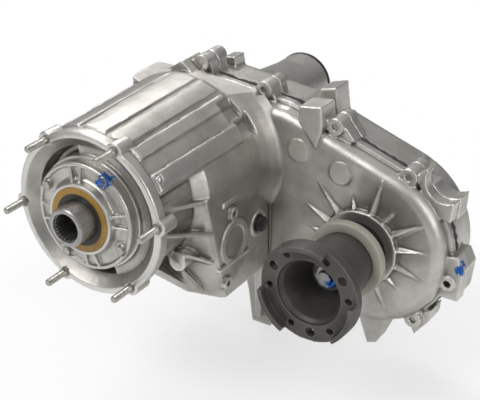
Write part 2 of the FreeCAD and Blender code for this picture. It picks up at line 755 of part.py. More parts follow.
    inner_boss = rod("output_inner_boss", S.output_boss_r, S.wall_y, bearing_depth,
                     S.front_line_x, S.front_line_z)
    bossed = fuse("front_case_bossed", [hollow, inner_boss])

    dish = turned("dish", ((0, -4), (S.ring_bore, -4), (S.ring_bore, 1), (S.ring_bore - 11.6, S.dish_depth),
                           (S.boss_radius, S.dish_depth), (S.boss_radius, S.boss_face), (0, S.boss_face)))
    pockets = []
    for index, (first, span) in enumerate(POCKETS, start=1):
        whole = sector(f"pocket_whole_{index}", S.ring_bore - 12, S.ring_bore - 15, S.dish_depth - 2,
                       S.pocket_depth - S.dish_depth + 2, first, span)
        core = rod(f"pocket_core_{index}", S.boss_radius, S.dish_depth - 4, S.pocket_depth)
        pockets.append(cut(f"pocket_{index}", whole, [core]))
    bearing_end = S.input_bearing_y + S.input_bearing_w
    bearing_seat = rod("input_bearing_seat", S.input_bearing_r + S.fit_gap, -2, bearing_end + 2)
    shaft_way = rod("shaft_way", S.input_bearing_r - 9, 10, 60)
    annulus_seat = rod("annulus_seat", S.annulus_radius + S.fit_gap, S.bearing_wall, 60)
    output_seat = rod("output_bearing_seat", S.output_bearing_r + S.fit_gap, S.output_bearing_y, 40,
                      S.front_line_x, S.front_line_z)
    seal_seat = rod("output_seal_seat", S.output_seal_r + S.fit_gap, 200, 60, S.front_line_x, S.front_line_z)
    rail_hole = rod("rail_hole_front", S.rail_radius + S.fit_gap, 76, 60, S.rail_x, S.rail_z)
    rim_holes = [
        rod(f"rim_hole_{index}", RIM_HOLE_R, S.rim_front - 30, 60, x, z)
        for index, (x, z) in enumerate(rim_spots(), start=1)
    ]
    stud_holes = []
    for index in range(int(S.stud_count.value)):
        x, z = on_ring(S.stud_circle, S.stud_phase + index * 360 / S.stud_count)
        stud_holes.append(rod(f"stud_hole_{index + 1}", S.stud_root + S.fit_gap, -4, S.stud_grip + 4.5, x, z))
        stud_holes.append(turned(f"stud_sink_{index + 1}", (
            (0, -1), (S.stud_sink + 1, -1), (S.stud_root, S.stud_sink - S.stud_root), (0, 2)), x, z))
    block_hole = rod("block_hole_front", 4.5, 230, 60, *BLOCK_HOLE)
    plug_hole = side_rod("plug_hole", 8.05, S.box_side - 20, 40, PLUG_Y, S.rail_z)
    plug_seat = side_rod("plug_seat", 13, S.box_side + 0.4, 10, PLUG_Y, S.rail_z)
    retainer_holes = [
        rod(f"retainer_hole_{index + 1}", RETAINER_BOLT_R + 0.05, -2, 30, *on_ring(RETAINER_CIRCLE, a))
        for index, a in enumerate(RETAINER_ANGLES)
    ]
    saddle = rod("saddle", 24, 200, 100, S.front_line_x + 94, S.front_line_z + 98)
    ball_hole = gallery_hole()
    cam_pocket = rod("cam_pocket", S.cam_radius + 3, S.cam_front - 2, 60, S.cam_x, S.cam_z)
    cam_pivot = rod("cam_pivot", S.selector_radius + S.fit_gap, S.cam_front - 14, 20, S.cam_x, S.cam_z)
    case = cut("front_case", bossed, [
        dish, *pockets, bearing_seat, shaft_way, annulus_seat, output_seat, seal_seat, rail_hole,
        *rim_holes, *stud_holes, block_hole, plug_hole, plug_seat, *retainer_holes, saddle, ball_hole,
        cam_pocket, cam_pivot, *panel_holes(), *barrel_scoops()])
    return keep("front_case", case)


def gallery_hole():
    """The drilled oil gallery mouth that the ball plug closes."""
    floor = BALL_SEAT - BALL_R - 0.1
    hole = doc.addObject("Part::Cylinder", "gallery_hole")
    hole.Placement = Placement(Vector(), Rotation(Vector(0, 1, 0), 90 - BALL_ANGLE))
    bind(hole, "Radius", BALL_R + S.fit_gap)
    bind(hole, "Height", 30)
    place(hole, floor * cosine(BALL_ANGLE), BALL_Y, floor * sine(BALL_ANGLE))
    return hole


def solid_of(points, faces):
    """A solid with flat faces, each given as point numbers in order."""
    corners = [Vector(*point) for point in points]
    skins = [Part.Face(Part.makePolygon([corners[i] for i in (*face, face[0])])) for face in faces]
    solid = Part.Solid(Part.Shell(skins))
    if solid.Volume < 0:
        solid.reverse()
    return solid


def tapered_fin(x, z, angle, inner, outer, root_y, tip_y, foot_y, half):
    """A star-shaped fin: wide and tall at the boss, running out to a point on the wall."""
    points = (
        (inner, root_y, -half), (inner, root_y, half), (outer, root_y, 0), (inner, tip_y, 0), (outer, foot_y, 0))
    fin = solid_of(points, ((0, 1, 2), (0, 3, 1), (0, 2, 4), (0, 4, 3), (1, 4, 2), (1, 3, 4)))
    fin.rotate(Vector(), Vector(0, 1, 0), -angle)
    fin.translate(Vector(x, 0, z))
    return fin


def output_boss_fins():
    """Cast fins standing like a star round the front output boss."""
    x, z = S.front_line_x.value, S.front_line_z.value
    wall, top = S.wall_y.value, S.output_boss_y.value + 0.6
    inner = S.output_boss_r.value - 3
    return [
        tapered_fin(x, z, angle, inner, reach, wall + 3, top, wall - 1, 7.5 if reach > 75 else 5.5)
        for angle, reach in FRONT_FINS
    ]


def rim_boss_webs(start, end):
    """A cast web from each rim boss down on to the shell."""
    webs = []
    for spot in rim_spots():
        x, z = values(spot)
        near_front = x > 150
        centre_x = S.front_line_x if near_front else S.main_end_x
        centre_z = S.front_line_z if near_front else S.main_end_z
        centre = (centre_x.value, centre_z.value)
        if 60 < x < 150:
            centre = (x, 0)
        inward = Vector(centre[0] - x, 0, centre[1] - z)
        inward.normalize()
        side = Vector(-inward.z, 0, inward.x)
        middle = Vector(x, start, z)
        reach = RIM_BOSS_R - 0.6
        line = [middle - side * reach, middle + side * reach, middle + side * 19 + inward * 22,
                middle - side * 19 + inward * 22]
        webs.append(Part.Face(Part.makePolygon(line + line[:1])).extrude(Vector(0, end - start, 0)))
    return webs


def barrel_side_ribs():
    """Ribs from the stud bosses back to the front edge of the shift box."""
    side = S.box_side.value
    push = (0.1, 0.1, 1)
    return [
        slanted_plate(((82, 12, 19), (side - 1, 86, 3), (side - 30, 86, 3), (70, 12, 17)), 4.6, push),
        slanted_plate(((93, 14, -8), (side, 100, -42), (side - 32, 92, -42), (74, 14, -12)), 4.6, push),
        slanted_plate(((84, 72, -62), (side, 106, -84), (side - 30, 100, -84), (60, 64, -64)), 4.6, push),
    ]


def box_low_fins():
    """Two fins that stand under the shift box, in front of its belly."""
    return [
        slanted_plate(((50, 52, -78), (70, 104, -128), (40, 112, -112), (36, 60, -70)), 4.4, (1, 0.1, -0.4)),
        slanted_plate(((70, 58, -62), (86, 106, -128), (58, 112, -112), (54, 62, -60)), 4.4, (1, 0.1, -0.4)),
    ]


def box_panel():
    """Raised work on the side wall of the shift box: beads, a round pad and small bosses."""
    face = S.box_side
    bead_top = block("bead_top", face - 6, 122, BEAD_TOP_Z, 9, S.wall_y - 120, 5)
    bead_low = block("bead_low", face - 6, 112, BEAD_LOW_Z, 9, 66, 5)
    round_pad = side_rod("round_pad", 29, face - 8, 10.5, *PANEL_PAD)
    pieces = [bead_top, bead_low, round_pad, side_rod("plug_boss", 17, face - 6, 8, PLUG_Y, S.rail_z)]
    for index, spot in enumerate(PANEL_BOSSES, start=1):
        pieces.append(side_rod(f"panel_boss_{index}", 8.5, face - 10, 15, *spot))
    return pieces


def panel_holes():
    """The small blind holes in the panel's bosses, and the dished middle of its pad."""
    holes = [
        side_rod(f"panel_hole_{index}", 3.4, S.box_side - 2, 20, *spot)
        for index, spot in enumerate(PANEL_BOSSES, start=1)
    ]
    holes.append(side_rod("pad_dish", 21, S.box_side + 1, 10, *PANEL_PAD))
    return holes


def barrel_scoops():
    """Hollows scooped in the barrel between the lands, behind the ring and at the shoulder."""
    scoops = []
    for index, (angle, level, radius) in enumerate(SCOOPS, start=1):
        x, z = on_ring(S.barrel_rear + radius - 5.5, angle)
        scoops.append(rod(f"scoop_{index}", radius, level, 26, x, z))
    return scoops


# ---------------------------------------------------------------- rear case and tail


def rear_case():
    start = S.joint_y + S.sealant
    shell = rounded_shell("rear_shell", start + 4, S.rear_y - start - 4, S.rear_y)
    rim = case_slab("rear_rim", 0, start, 12)
    bosses = [
        rod(f"rear_rim_boss_{index}", RIM_BOSS_R, start, REAR_BOSS, x, z)
        for index, (x, z) in enumerate(rim_spots(), start=1)
    ]
    knob = rod("rear_knob", 11, start, 22, S.main_end_x + 6, S.main_end_z + S.main_end_r + 14)
    knob_web = prism("rear_knob_web", "XZ", ((-24, 78), (-22, 106), (4, 104), (8, 78)), start, 18)
    lug = prism("rear_lug", "XZ", ((132, 50), (136, 84), (158, 90), (164, 46)), start + 20, 34)
    top_lug = prism("rear_top_lug", "XZ", ((-12, 70), (-9, 94), (6, 96), (10, 70)), 296, 24)
    mount_block = prism("rear_mount_block", "XZ", (
        (S.front_line_x + 80, S.front_line_z - 46), (S.front_line_x + 84, S.front_line_z + 4),
        (S.front_line_x + 116, S.front_line_z + 8), (S.front_line_x + 124, S.front_line_z - 8),
        (S.front_line_x + 120, S.front_line_z - 44)), start, 26)
    saddle_block = prism("rear_saddle_block", "XZ", (
        (S.front_line_x + 56, S.front_line_z + 88), (S.front_line_x + 108, S.front_line_z + 84),
        (S.front_line_x + 106, S.front_line_z + 50), (S.front_line_x + 84, S.front_line_z + 50)), start, 26)
    foot = prism("rear_foot", "XZ", ((36, -112), (58, -205), (66, -254), (90, -254), (100, -205), (128, -150)),
                 start, 18)
    low_lug = prism("rear_low_lug", "XZ", LOW_LUG, start, 14)
    side_lug = prism("rear_side_lug", "XZ", SIDE_LUG, start, 14)
    boss_webs = feature("rear_boss_webs", joined(rim_boss_webs(start.value, start.value + REAR_BOSS - 2)))
    bearing_end = S.rear_bearing_y + S.rear_bearing_w
    bearing_boss = rod("rear_bearing_boss", S.rear_bearing_r + 10, S.rear_bearing_y - 2, S.rear_y
                       - S.rear_bearing_y + 2)
    tail_pad = rod("tail_pad", S.tail_flange_r, S.rear_y - 14, 14)
    rail_end = rod("rail_end", S.rail_radius + 6, 304, S.rear_y - 305, S.rail_x, S.rail_z)
    cam_end = rod("cam_end", 12, 306, S.rear_y + 6 - 306, S.cam_x, S.cam_z)
    needle_boss = rod("needle_boss", 34, 300, S.rear_y - 302, S.front_line_x, S.front_line_z)
    ribs = feature("rear_case_webs", joined(rear_case_ribs()))
    outside = fuse("rear_case_outside", [shell, rim, *bosses, knob, knob_web, lug, top_lug, mount_block,
                                         saddle_block, foot, low_lug, side_lug, tail_pad, cam_end, ribs])
    webbed = fuse("rear_case_webbed", [outside, boss_webs])
    space = case_slab("rear_chain_space", S.case_wall + S.shell_inset, start - 4,
                      S.rear_y - S.end_wall - start + 4)
    hollow = cut("rear_case_hollow", webbed, [space])
    inside = fuse("rear_case_bosses", [hollow, bearing_boss, rail_end, needle_boss])
    seat = rod("rear_bearing_seat", S.rear_bearing_r + S.fit_gap, S.rear_bearing_y - 4, S.rear_bearing_w + 4)
    way = rod("rear_shaft_way", S.rear_bearing_r - 7, bearing_end - 2, 20)
    rail_hole = rod("rail_hole_rear", S.rail_radius + S.fit_gap, 296, 20, S.rail_x, S.rail_z)
    cam_hole = rod("cam_hole_rear", S.selector_radius + S.fit_gap, 296, 60, S.cam_x, S.cam_z)
    needle_seat = rod("needle_seat", NEEDLE_R + S.fit_gap, 290, 28, S.front_line_x, S.front_line_z)
    rim_holes = [
        rod(f"rear_rim_hole_{index}", RIM_HOLE_R, start - 6, 40, x, z)
        for index, (x, z) in enumerate(rim_spots(), start=1)
    ]
    spots = [
        rod(f"bolt_spot_{index}", BOLT_SPOT_R, start + REAR_BOSS, 80, x, z)
        for index, (x, z) in enumerate(rim_spots(), start=1)
    ]
    tail_holes = [
        rod(f"tail_bolt_hole_{index + 1}", TAIL_BOLT_R + 0.05, S.rear_y - 9.5, 20, *on_ring(TAIL_CIRCLE, a))
        for index, a in enumerate(TAIL_ANGLES)
    ]
    fill = rod("fill_hole", PLUG_THREAD_R + 0.05, S.rear_y - 30, 40, *FILL_PLACE)
    drain = rod("drain_hole", PLUG_THREAD_R + 0.05, S.rear_y - 30, 40, *DRAIN_PLACE)
    saddle = rod("rear_saddle", 24, 200, 120, S.front_line_x + 94, S.front_line_z + 98)
    block_hole = rod("block_hole_rear", 4.5, start - 4, 60, *BLOCK_HOLE)
    bush_hole = rod("bush_hole_rear", BUSH_R + S.fit_gap, start + 10, 60, *BUSH_PLACE)
    case = cut("rear_case", inside, [
        seat, way, rail_hole, cam_hole, needle_seat, *rim_holes, *spots, *tail_holes,
        fill, drain, saddle, block_hole, bush_hole])
    return keep("rear_case", case)


def rear_case_ribs():
    """Stiffening ribs fanning over the rear wall from the tail and the front output boss."""
    rear = S.rear_y.value
    ribs = [thin_fin(0, 0, angle, 60, 78, rear - 6, rear, rear, 5) for angle in (0.0, 60.0, 120.0, 180.0, 240.0)]
    x, z = S.front_line_x.value, S.front_line_z.value
    ribs += [
        thin_fin(x, z, angle, 10, 78, rear - 6, rear + 4, rear - 0.5, 5)
        for angle in (-90.0, -45.0, 0.0, 45.0, 90.0, 135.0, -135.0)
    ]
    return ribs


def case_sealant():
    """The squeezed bead between the two halves."""
    band = case_slab("sealant_band", -S.sealant_bulge, S.joint_y, S.sealant)
    hole = case_slab("sealant_hole", S.case_wall + S.shell_inset - 1, S.joint_y - 4, 12)
    bolt_holes = [
        rod(f"sealant_hole_{index}", RIM_HOLE_R, S.joint_y - 5, 14, x, z)
        for index, (x, z) in enumerate(rim_spots(), start=1)
    ]
    return keep("case_sealant", cut("case_sealant", band, [hole, *bolt_holes]))


def tail_housing():
    neck = S.tail_radius + 6
    profile = (
        (S.tail_bore, S.rear_y), (S.tail_flange_r, S.rear_y), (S.tail_flange_r, S.rear_y + 10),
        (S.tail_front_r, S.rear_y + 14), (S.tail_front_r - 2, S.rear_y + 34), (neck, S.rear_y + 66),
        (S.tail_radius, S.tail_end - 34), (S.tail_radius, S.tail_end),
        (S.slip_bore + 8, S.tail_end), (S.slip_bore + 8, S.tail_end - 34), (S.tail_bore, S.tail_end - 40))
    barrel = turned("tail_barrel", profile)
    holes = [
        rod(f"tail_flange_hole_{index + 1}", TAIL_BOLT_R + 0.3, S.rear_y - 4, 40, *on_ring(TAIL_CIRCLE, a))
        for index, a in enumerate(TAIL_ANGLES)
    ]
    heads = [
        rod(f"tail_spot_{index + 1}", 8.5, S.rear_y + 10, 40, *on_ring(TAIL_CIRCLE, a))
        for index, a in enumerate(TAIL_ANGLES)
    ]
    return keep("tail_housing", cut("tail_housing", barrel, holes + heads))


# ---------------------------------------------------------------- covers, seals, fasteners


def hex_bar(across_flats, start, length, x=0.0, z=0.0, axis="y"):
    """A hexagonal bar along Y or X with its centre at (x, z), or at (y, z) when it lies along X."""
    radius = across_flats / math.sqrt(3)
    corners = [
        (radius * math.cos(math.radians(60 * k)), radius * math.sin(math.radians(60 * k))) for k in range(7)
    ]
    if axis == "y":
        face = Part.Face(Part.makePolygon([Vector(a, 0, b) for a, b in corners]))
        face.translate(Vector(x, start, z))
        return face.extrude(Vector(0, length, 0))
    face = Part.Face(Part.makePolygon([Vector(0, a, b) for a, b in corners]))
    face.translate(Vector(start, x, z))
    return face.extrude(Vector(length, 0, 0))


def flange_bolt(radius, reach, flats, x, z, face_y, direction):
    """One bolt: its head stands on face_y, its shank runs along direction (+1 rear, -1 front)."""
    washer = Part.makeCylinder(flats * 0.62, 1.6, Vector(x, face_y, z), Vector(0, -direction, 0))
    start = face_y - direction * (1.6 + flats * 0.45) if direction > 0 else face_y + 1.6
    head = hex_bar(flats, start, flats * 0.45, x, z)
    shank = Part.makeCylinder(radius, reach, Vector(x, face_y, z), Vector(0, direction, 0))
    return washer.fuse(head).fuse(shank).removeSplitter()


def values(pair):
    return size(pair[0]).value, size(pair[1]).value


def bolt_group(label, places, radius, reach, flats, face_y, direction):
    bolts = [flange_bolt(radius, reach, flats, *values(p), size(face_y).value, direction) for p in places]
    return keep(label, feature(label, Part.makeCompound(bolts)))


THREAD_SUNK = 0.5


def input_studs():
    studs = []
    radius, reach, grip = S.stud_radius.value, S.stud_reach.value, S.stud_grip.value
    for index in range(int(S.stud_count.value)):
        x, z = values(on_ring(S.stud_circle, S.stud_phase + index * 360 / S.stud_count))
        thread = y_cylinder(radius, 4 - reach, reach - 4 + THREAD_SUNK, x, z)
        root = y_cylinder(S.stud_root.value, THREAD_SUNK, grip - THREAD_SUNK, x, z)
        point = y_cylinder(radius * 0.72, -reach, 5, x, z)
        studs.append(thread.fuse([root, point]).removeSplitter())
    return keep("input_studs", feature("input_studs", Part.makeCompound(studs)))


def input_retainer():
    """The bearing cover: rim, recessed face with webs, raised seal hub and a spigot."""
    face = S.boss_face
    profile = (
        (S.input_journal_r + 4, face + 7.6), (S.input_bearing_r, face + 7.6), (S.input_bearing_r, face),
        (65, face), (65, -5), (63.5, -6.5), (60.5, -6.5), (59.5, -3.5), (47, -3.5), (44, -6),
        (42.5, -15), (S.seal_outer, -15), (S.seal_outer, -4), (S.input_journal_r + 4, -4))
    body = turned("retainer_turning", profile)
    webs = [thin_fin(0, 0, angle, 42, 63, -2, -11, -6.2, 3) for angle in WEB_ANGLES]
    pads = [y_cylinder(9, -4.5, 8, *values(on_ring(RETAINER_CIRCLE, a))) for a in RETAINER_ANGLES]
    limit = y_cylinder(64.8, -20, 40).cut(y_cylinder(40, -30, 60))
    extras = feature("retainer_webs", Part.makeCompound([limit.common(p) for p in webs + pads]))
    solid = fuse("retainer_solid", [body, extras])
    holes = [
        rod(f"cover_hole_{index + 1}", RETAINER_BOLT_R + 0.3, -20, 40, *on_ring(RETAINER_CIRCLE, a))
        for index, a in enumerate(RETAINER_ANGLES)
    ]
    spots = [
        rod(f"cover_spot_{index + 1}", COVER_SPOT_R, -24, 24 - 4.5, *on_ring(RETAINER_CIRCLE, a))
        for index, a in enumerate(RETAINER_ANGLES)
    ]
    return keep("input_retainer", cut("input_retainer", solid, holes + spots))


WEB_ANGLES = (92.0, 106.0, 16.0, 196.0, 286.0, 0.0, 178.0, 270.0)


def shaft_seal(label, outer, lip, front, width, x=0, z=0):
    """A lip seal: a case ring, a web and a lip that just clears the shaft."""
    rear = front + width
    profile = (
        (outer, front), (outer, rear), (outer - 2.5, rear), (outer - 2.5, front + 2.5),
        (lip + 3, front + 2.5), (lip + 2.5, rear - 1), (lip, rear - 1.5), (lip, front + 1), (lip + 3, front))
    return keep(label, turned_body(label, profile, x, z))


def bearing(label, inner, outer, start, width, x=0, z=0):
    """A sealed ball bearing: outer ring with its two shields, and the inner ring."""
    end = start + width
    shield = 1.5
    middle = (inner + outer) / 2
    wall = (outer - inner) / 4
    outer_profile = (
        (outer, start), (outer, end), (outer - wall, end), (middle - wall / 2, end - shield),
        (middle - wall / 2, end - shield * 2), (outer - wall, end - shield * 2),
        (outer - wall, start + shield * 2), (middle - wall / 2, start + shield * 2),
        (middle - wall / 2, start + shield), (outer - wall, start))
    keep(f"{label}_outer", turned_body(f"{label}_outer", outer_profile, x, z))
    ring = ring_body(f"{label}_inner", inner, inner + wall, start, width, x, z)
    return keep(f"{label}_inner", ring)


# ---------------------------------------------------------------- gears and shafts

SUN_TIP = 38.9
SUN_ROOT = 34.3
PLANET_TIP = 15.3
PLANET_ROOT = 10.7
ANNULUS_TIP = 62.3
ANNULUS_ROOT = 66.9
GEAR_ROOT_SHARE = 0.58
GEAR_TIP_SHARE = 0.28
DOG_ROOT_SHARE = 0.46
DOG_TIP_SHARE = 0.4
DOG_LENGTH = 6.0
COLLAR_REACH = 8.0


def planet_circle():
    return (S.gear_module * (S.sun_teeth + S.planet_teeth) / 2).value


def input_gear():
    """Input hub, its inner spline, the bearing journal and the sun gear in one piece."""
    gear_end = S.gear_front + S.gear_width
    outer = turned("input_turning", (
        (0, S.hub_front), (S.hub_radius - 1.2, S.hub_front), (S.hub_radius, S.hub_front + 1.2),
        (S.hub_radius, S.boss_face + 5), (S.input_journal_r, S.boss_face + 7),
        (S.input_journal_r, S.input_bearing_y + S.input_bearing_w),
        (S.input_journal_r + 4, S.input_bearing_y + S.input_bearing_w),
        (S.input_journal_r + 4, S.gear_front - 4), (33, S.gear_front - 1), (33, gear_end), (0, gear_end)))
    sun = toothed_face(S.sun_teeth.value, SUN_ROOT, SUN_TIP, GEAR_ROOT_SHARE, GEAR_TIP_SHARE, bore=32,
                       phase=180 / S.sun_teeth.value)
    sun_ring = feature("sun_gear", pushed(sun, S.gear_front.value, S.gear_width.value))
    spline_way = rod("input_spline_way", S.hub_bore, S.hub_front - 1, 52)
    pilot_way = rod("pilot_way", PILOT_BUSH_R, 40, 80)
    clutch_way = rod("clutch_way", S.clutch_radius + 0.3, gear_end - 14, 20)
    body = cut("input_bored", fuse("input_solid", [outer, sun_ring]), [spline_way, pilot_way, clutch_way])
    spline = toothed_face(
        27, S.hub_bore.value + 0.6, S.hub_bore.value - 1.4, 0.6, 0.4, outer=S.hub_bore.value + 1)
    teeth = dog_ring(S.clutch_radius.value + 0.3)
    inner = feature("input_inner_teeth", Part.makeCompound([
        pushed(spline, S.hub_front.value + 3, 44), pushed(teeth, gear_end.value - 10, 8.6)]))
    return keep("input_gear", fuse("input_gear", [body, inner]))


PILOT_BUSH_R = 14.0


def dog_ring(root):
    """Inner clutch teeth: they take the range collar's outer teeth between them."""
    teeth = S.clutch_teeth.value
    return toothed_face(teeth, root + 0.1, root - 2, DOG_ROOT_SHARE, DOG_TIP_SHARE, outer=root + 1.5,
                        phase=180 / teeth)


def annulus_gear():
    teeth = S.sun_teeth.value + 2 * S.planet_teeth.value
    ring = rod(
        "annulus_blank", S.annulus_radius, S.bearing_wall, S.gear_front + S.gear_width + 2 - S.bearing_wall)
    way = rod("annulus_way", ANNULUS_ROOT + 0.3, S.bearing_wall - 1, 80)
    toothed = toothed_face(teeth, ANNULUS_ROOT + 0.4, ANNULUS_TIP, GEAR_ROOT_SHARE, GEAR_TIP_SHARE,
                           outer=ANNULUS_ROOT + 2, phase=180 / teeth)
    inner = feature("annulus_teeth", pushed(toothed, S.gear_front.value - 0.2, S.gear_width.value + 0.4))
    return keep("annulus_gear", fuse("annulus_gear", [cut("annulus_ring", ring, [way]), inner]))


def carrier():
    gear_end = S.gear_front + S.gear_width
    front = ring_body("carrier_front", 40, 64, S.gear_front - 0.4 - S.plate_thick, S.plate_thick)
    rear = ring_body("carrier_rear", S.clutch_radius + 0.5, 64, gear_end + 0.4, S.plate_thick)
    dogs_start = gear_end - COLLAR_REACH + DOG_LENGTH + S.range_travel + S.side_gap
    hub = ring_body(
        "carrier_hub", S.clutch_radius + 0.5, 40, gear_end + 3, dogs_start + DOG_LENGTH - gear_end - 3)
    bridges = []
    for angle in (60.0, 180.0, 300.0):
        whole = sector(
            f"bridge_whole_{int(angle)}", 61, 61, S.gear_front - 2, S.gear_width + 4, angle - 22, 44)
        core = rod(f"bridge_core_{int(angle)}", 42, S.gear_front - 4, S.gear_width + 8)
        bridges.append(cut(f"bridge_{int(angle)}", whole, [core]))
    dogs = feature(
        "carrier_dogs", pushed(dog_ring(S.clutch_radius.value + 0.5), dogs_start.value, DOG_LENGTH))
    solid = fuse("carrier_solid", [front, rear, hub, *bridges, dogs])
    holes = [
        rod(f"planet_pin_hole_{index + 1}", S.pin_radius + 0.02, S.gear_front - 20, 80, x, z)
        for index, (x, z) in enumerate(planet_places())
    ]
    return keep("carrier", cut("carrier", solid, holes))


def planet_places():
    step = 360 / int(S.planet_count.value)
    return [values(on_ring(planet_circle(), step * index)) for index in range(int(S.planet_count.value))]


def planet_pins():
    pins = [y_cylinder(S.pin_radius.value, S.gear_front.value - 7, S.gear_width.value + 14, x, z)
            for x, z in planet_places()]
    return keep("planet_pins", feature("planet_pins", Part.makeCompound(pins)))


def planets():
    face = toothed_face(S.planet_teeth.value, PLANET_ROOT, PLANET_TIP, 0.62, GEAR_TIP_SHARE,
                        bore=S.pin_radius.value + S.fit_gap.value)
    for index, (x, z) in enumerate(planet_places(), start=1):
        gear = feature(f"planet_{index}", pushed(face, S.gear_front.value + 0.4, S.gear_width.value - 0.8))
        gear.Placement = Placement(Vector(x, 0, z), Rotation())
        keep(f"planet_{index}", gear)


SPLINE_TEETH = 12


def main_shaft():
    collar = S.rear_bearing_y
    core = S.spline_radius - 1.5
    turning = turned("main_turning", (
        (0, 44.5), (10, 44.5), (11, 46), (11, 66.5), (17, 66.5), (17, 84), (core, 84), (core, 152),
        (18, 152), (18, S.wall_y + 2), (19, S.wall_y + 2), (19, S.joint_y + 28.4), (26, S.joint_y + 28.4),
        (26, collar), (S.rear_journal_r, collar), (S.rear_journal_r, collar + S.rear_bearing_w),
        (19, collar + S.rear_bearing_w), (19, 372), (16, 376), (16, 450), (14, 452), (0, 452)))
    range_teeth = toothed_face(SPLINE_TEETH, core.value - 0.5, S.spline_radius.value, 0.5, 0.42, bore=8)
    end_teeth = toothed_face(24, 15.4, 17.2, 0.62, 0.4, bore=8)
    splines = feature("main_splines", Part.makeCompound([
        pushed(range_teeth, 84, 66), pushed(end_teeth, 382, 66)]))
    return keep("main_shaft", fuse("main_shaft", [turning, splines]))


def range_collar():
    """Sliding collar: outer clutch teeth in front, a fork groove behind, splined to the shaft."""
    groove = S.groove_y
    groove_end = groove + S.groove_width
    start = S.gear_front + S.gear_width - COLLAR_REACH
    turning = turned("collar_turning", (
        (S.spline_radius + 0.6, start), (S.clutch_radius - 2, start), (S.clutch_radius - 2, start + DOG_LENGTH),
        (26, start + 7), (26, groove - 6), (36, groove - 4), (36, groove), (29, groove), (29, groove_end),
        (36, groove_end), (36, groove_end + 4), (S.spline_radius + 0.6, groove_end + 4)))
    outer = toothed_face(S.clutch_teeth.value, S.clutch_radius.value - 2, S.clutch_radius.value,
                         DOG_ROOT_SHARE, DOG_TIP_SHARE, bore=24)
    inner = toothed_face(SPLINE_TEETH, S.spline_radius.value + 0.8, S.spline_radius.value - 1.2, 0.44, 0.4,
                         outer=S.spline_radius.value + 3, phase=180 / SPLINE_TEETH)
    length = groove_end.value + 4 - start.value
    teeth = feature("collar_teeth", Part.makeCompound([
        pushed(outer, start.value, DOG_LENGTH), pushed(inner, start.value + 10, length - 14)]))
    return keep("range_collar", fuse("range_collar", [turning, teeth]))


MODE_TEETH = 30
MODE_R = 36.0


def mode_hub():
    face = toothed_face(MODE_TEETH, MODE_R - 1.8, MODE_R, 0.46, 0.4, bore=S.spline_radius.value - 0.95)
    return keep("mode_hub", feature("mode_hub", pushed(face, S.wall_y.value + 3, 17)))


def mode_sleeve():
    start = S.joint_y - 26
    groove = start + 10
    turning = turned("sleeve_turning", (
        (MODE_R + 0.8, start), (42, start), (42, groove - 3.4), (46, groove - 3.4), (46, groove), (42, groove),
        (42, groove + S.groove_width), (46, groove + S.groove_width), (46, groove + S.groove_width + 3.4),
        (42, groove + S.groove_width + 3.4), (42, S.joint_y), (MODE_R + 0.8, S.joint_y)))
    inner = toothed_face(MODE_TEETH, MODE_R + 1.0, MODE_R - 1.4, 0.46, 0.4, outer=MODE_R + 3,
                         phase=180 / MODE_TEETH)
    teeth = feature("sleeve_teeth", pushed(inner, start.value, 26))
    return keep("mode_sleeve", fuse("mode_sleeve", [turning, teeth]))


def sprocket_face(bore):
    return toothed_face(
        S.sprocket_teeth.value, S.sprocket_tip.value - 5, S.sprocket_tip.value, 0.7, 0.3, bore=bore)


def drive_sprocket():
    """The loose sprocket on the main shaft, with the clutch teeth that the sleeve joins."""
    bore = S.spline_radius.value - 1 + S.fit_gap.value
    clutch = toothed_face(MODE_TEETH, MODE_R - 1.8, MODE_R, 0.46, 0.4, bore=bore)
    start = S.joint_y.value - 10
    shape = pushed(clutch, start, 10.4)
    shape = shape.fuse(y_cylinder(34, start + 9, 29).cut(y_cylinder(bore, start, 60)))
    shape = shape.fuse(pushed(sprocket_face(bore), S.chain_front.value, S.chain_width.value))
    return keep("drive_sprocket", feature("drive_sprocket", shape.removeSplitter()))


def driven_sprocket():
    face = sprocket_face(FRONT_SHAFT_R)
    sprocket = feature("driven_sprocket", pushed(face, S.chain_front.value, S.chain_width.value))
    place(sprocket, S.front_line_x, 0, S.front_line_z)
    return keep("driven_sprocket", sprocket)


FRONT_SHAFT_R = 22.0


def chain():
    """The chain as one closed band, notched between its links."""
    main = Vector(0, 0, 0)
    front = Vector(S.front_line_x.value, 0, S.front_line_z.value)
    span = front - main
    base_angle = math.atan2(span.z, span.x)
    inner = S.sprocket_tip.value + 0.6
    outer = inner + S.chain_depth.value
    outline = {inner: [], outer: []}
    half_turn = 22
    straight = int(span.Length / 9.2)
    for radius, points in outline.items():
        for centre, first in ((main, base_angle + math.pi / 2), (front, base_angle - math.pi / 2)):
            for step in range(half_turn + 1):
                angle = first + math.pi * step / half_turn
                notch = 1.6 if radius == outer and step % 2 else 0.0
                reach = radius - notch
                points.append(centre + Vector(math.cos(angle), 0, math.sin(angle)) * reach)
            across = Vector(math.cos(first + math.pi), 0, math.sin(first + math.pi))
            along = (front - main if centre is main else main - front) * (1 / straight)
            for step in range(1, straight):
                notch = 1.6 if radius == outer and step % 2 else 0.0
                points.append(centre + across * (radius - notch) + along * step)
    loops = [Part.Wire(Part.makePolygon(points + points[:1])) for points in outline.values()]
    face = Part.Face(loops[1]).cut(Part.Face(loops[0]))
    band = pushed(face, S.chain_front.value, S.chain_width.value)
    return keep("chain", feature("chain", band))


# ---------------------------------------------------------------- front output


def front_output_shaft():
    x, z = S.front_line_x, S.front_line_z
    journal_end = S.output_bearing_y + S.output_bearing_w
    profile = (
        (0, 137), (8, 137), (9, 139), (9, 151), (14, 151), (14, 226), (S.output_journal_r, 226),
        (S.output_journal_r, journal_end), (25, journal_end), (25, journal_end + 6), (FRONT_SHAFT_R, journal_end + 6),
        (FRONT_SHAFT_R, 292), (NEEDLE_JOURNAL_R, 294), (NEEDLE_JOURNAL_R, 317.5), (0, 317.5))
    return keep("front_output_shaft", turned_body("front_output_shaft", profile, x, z))


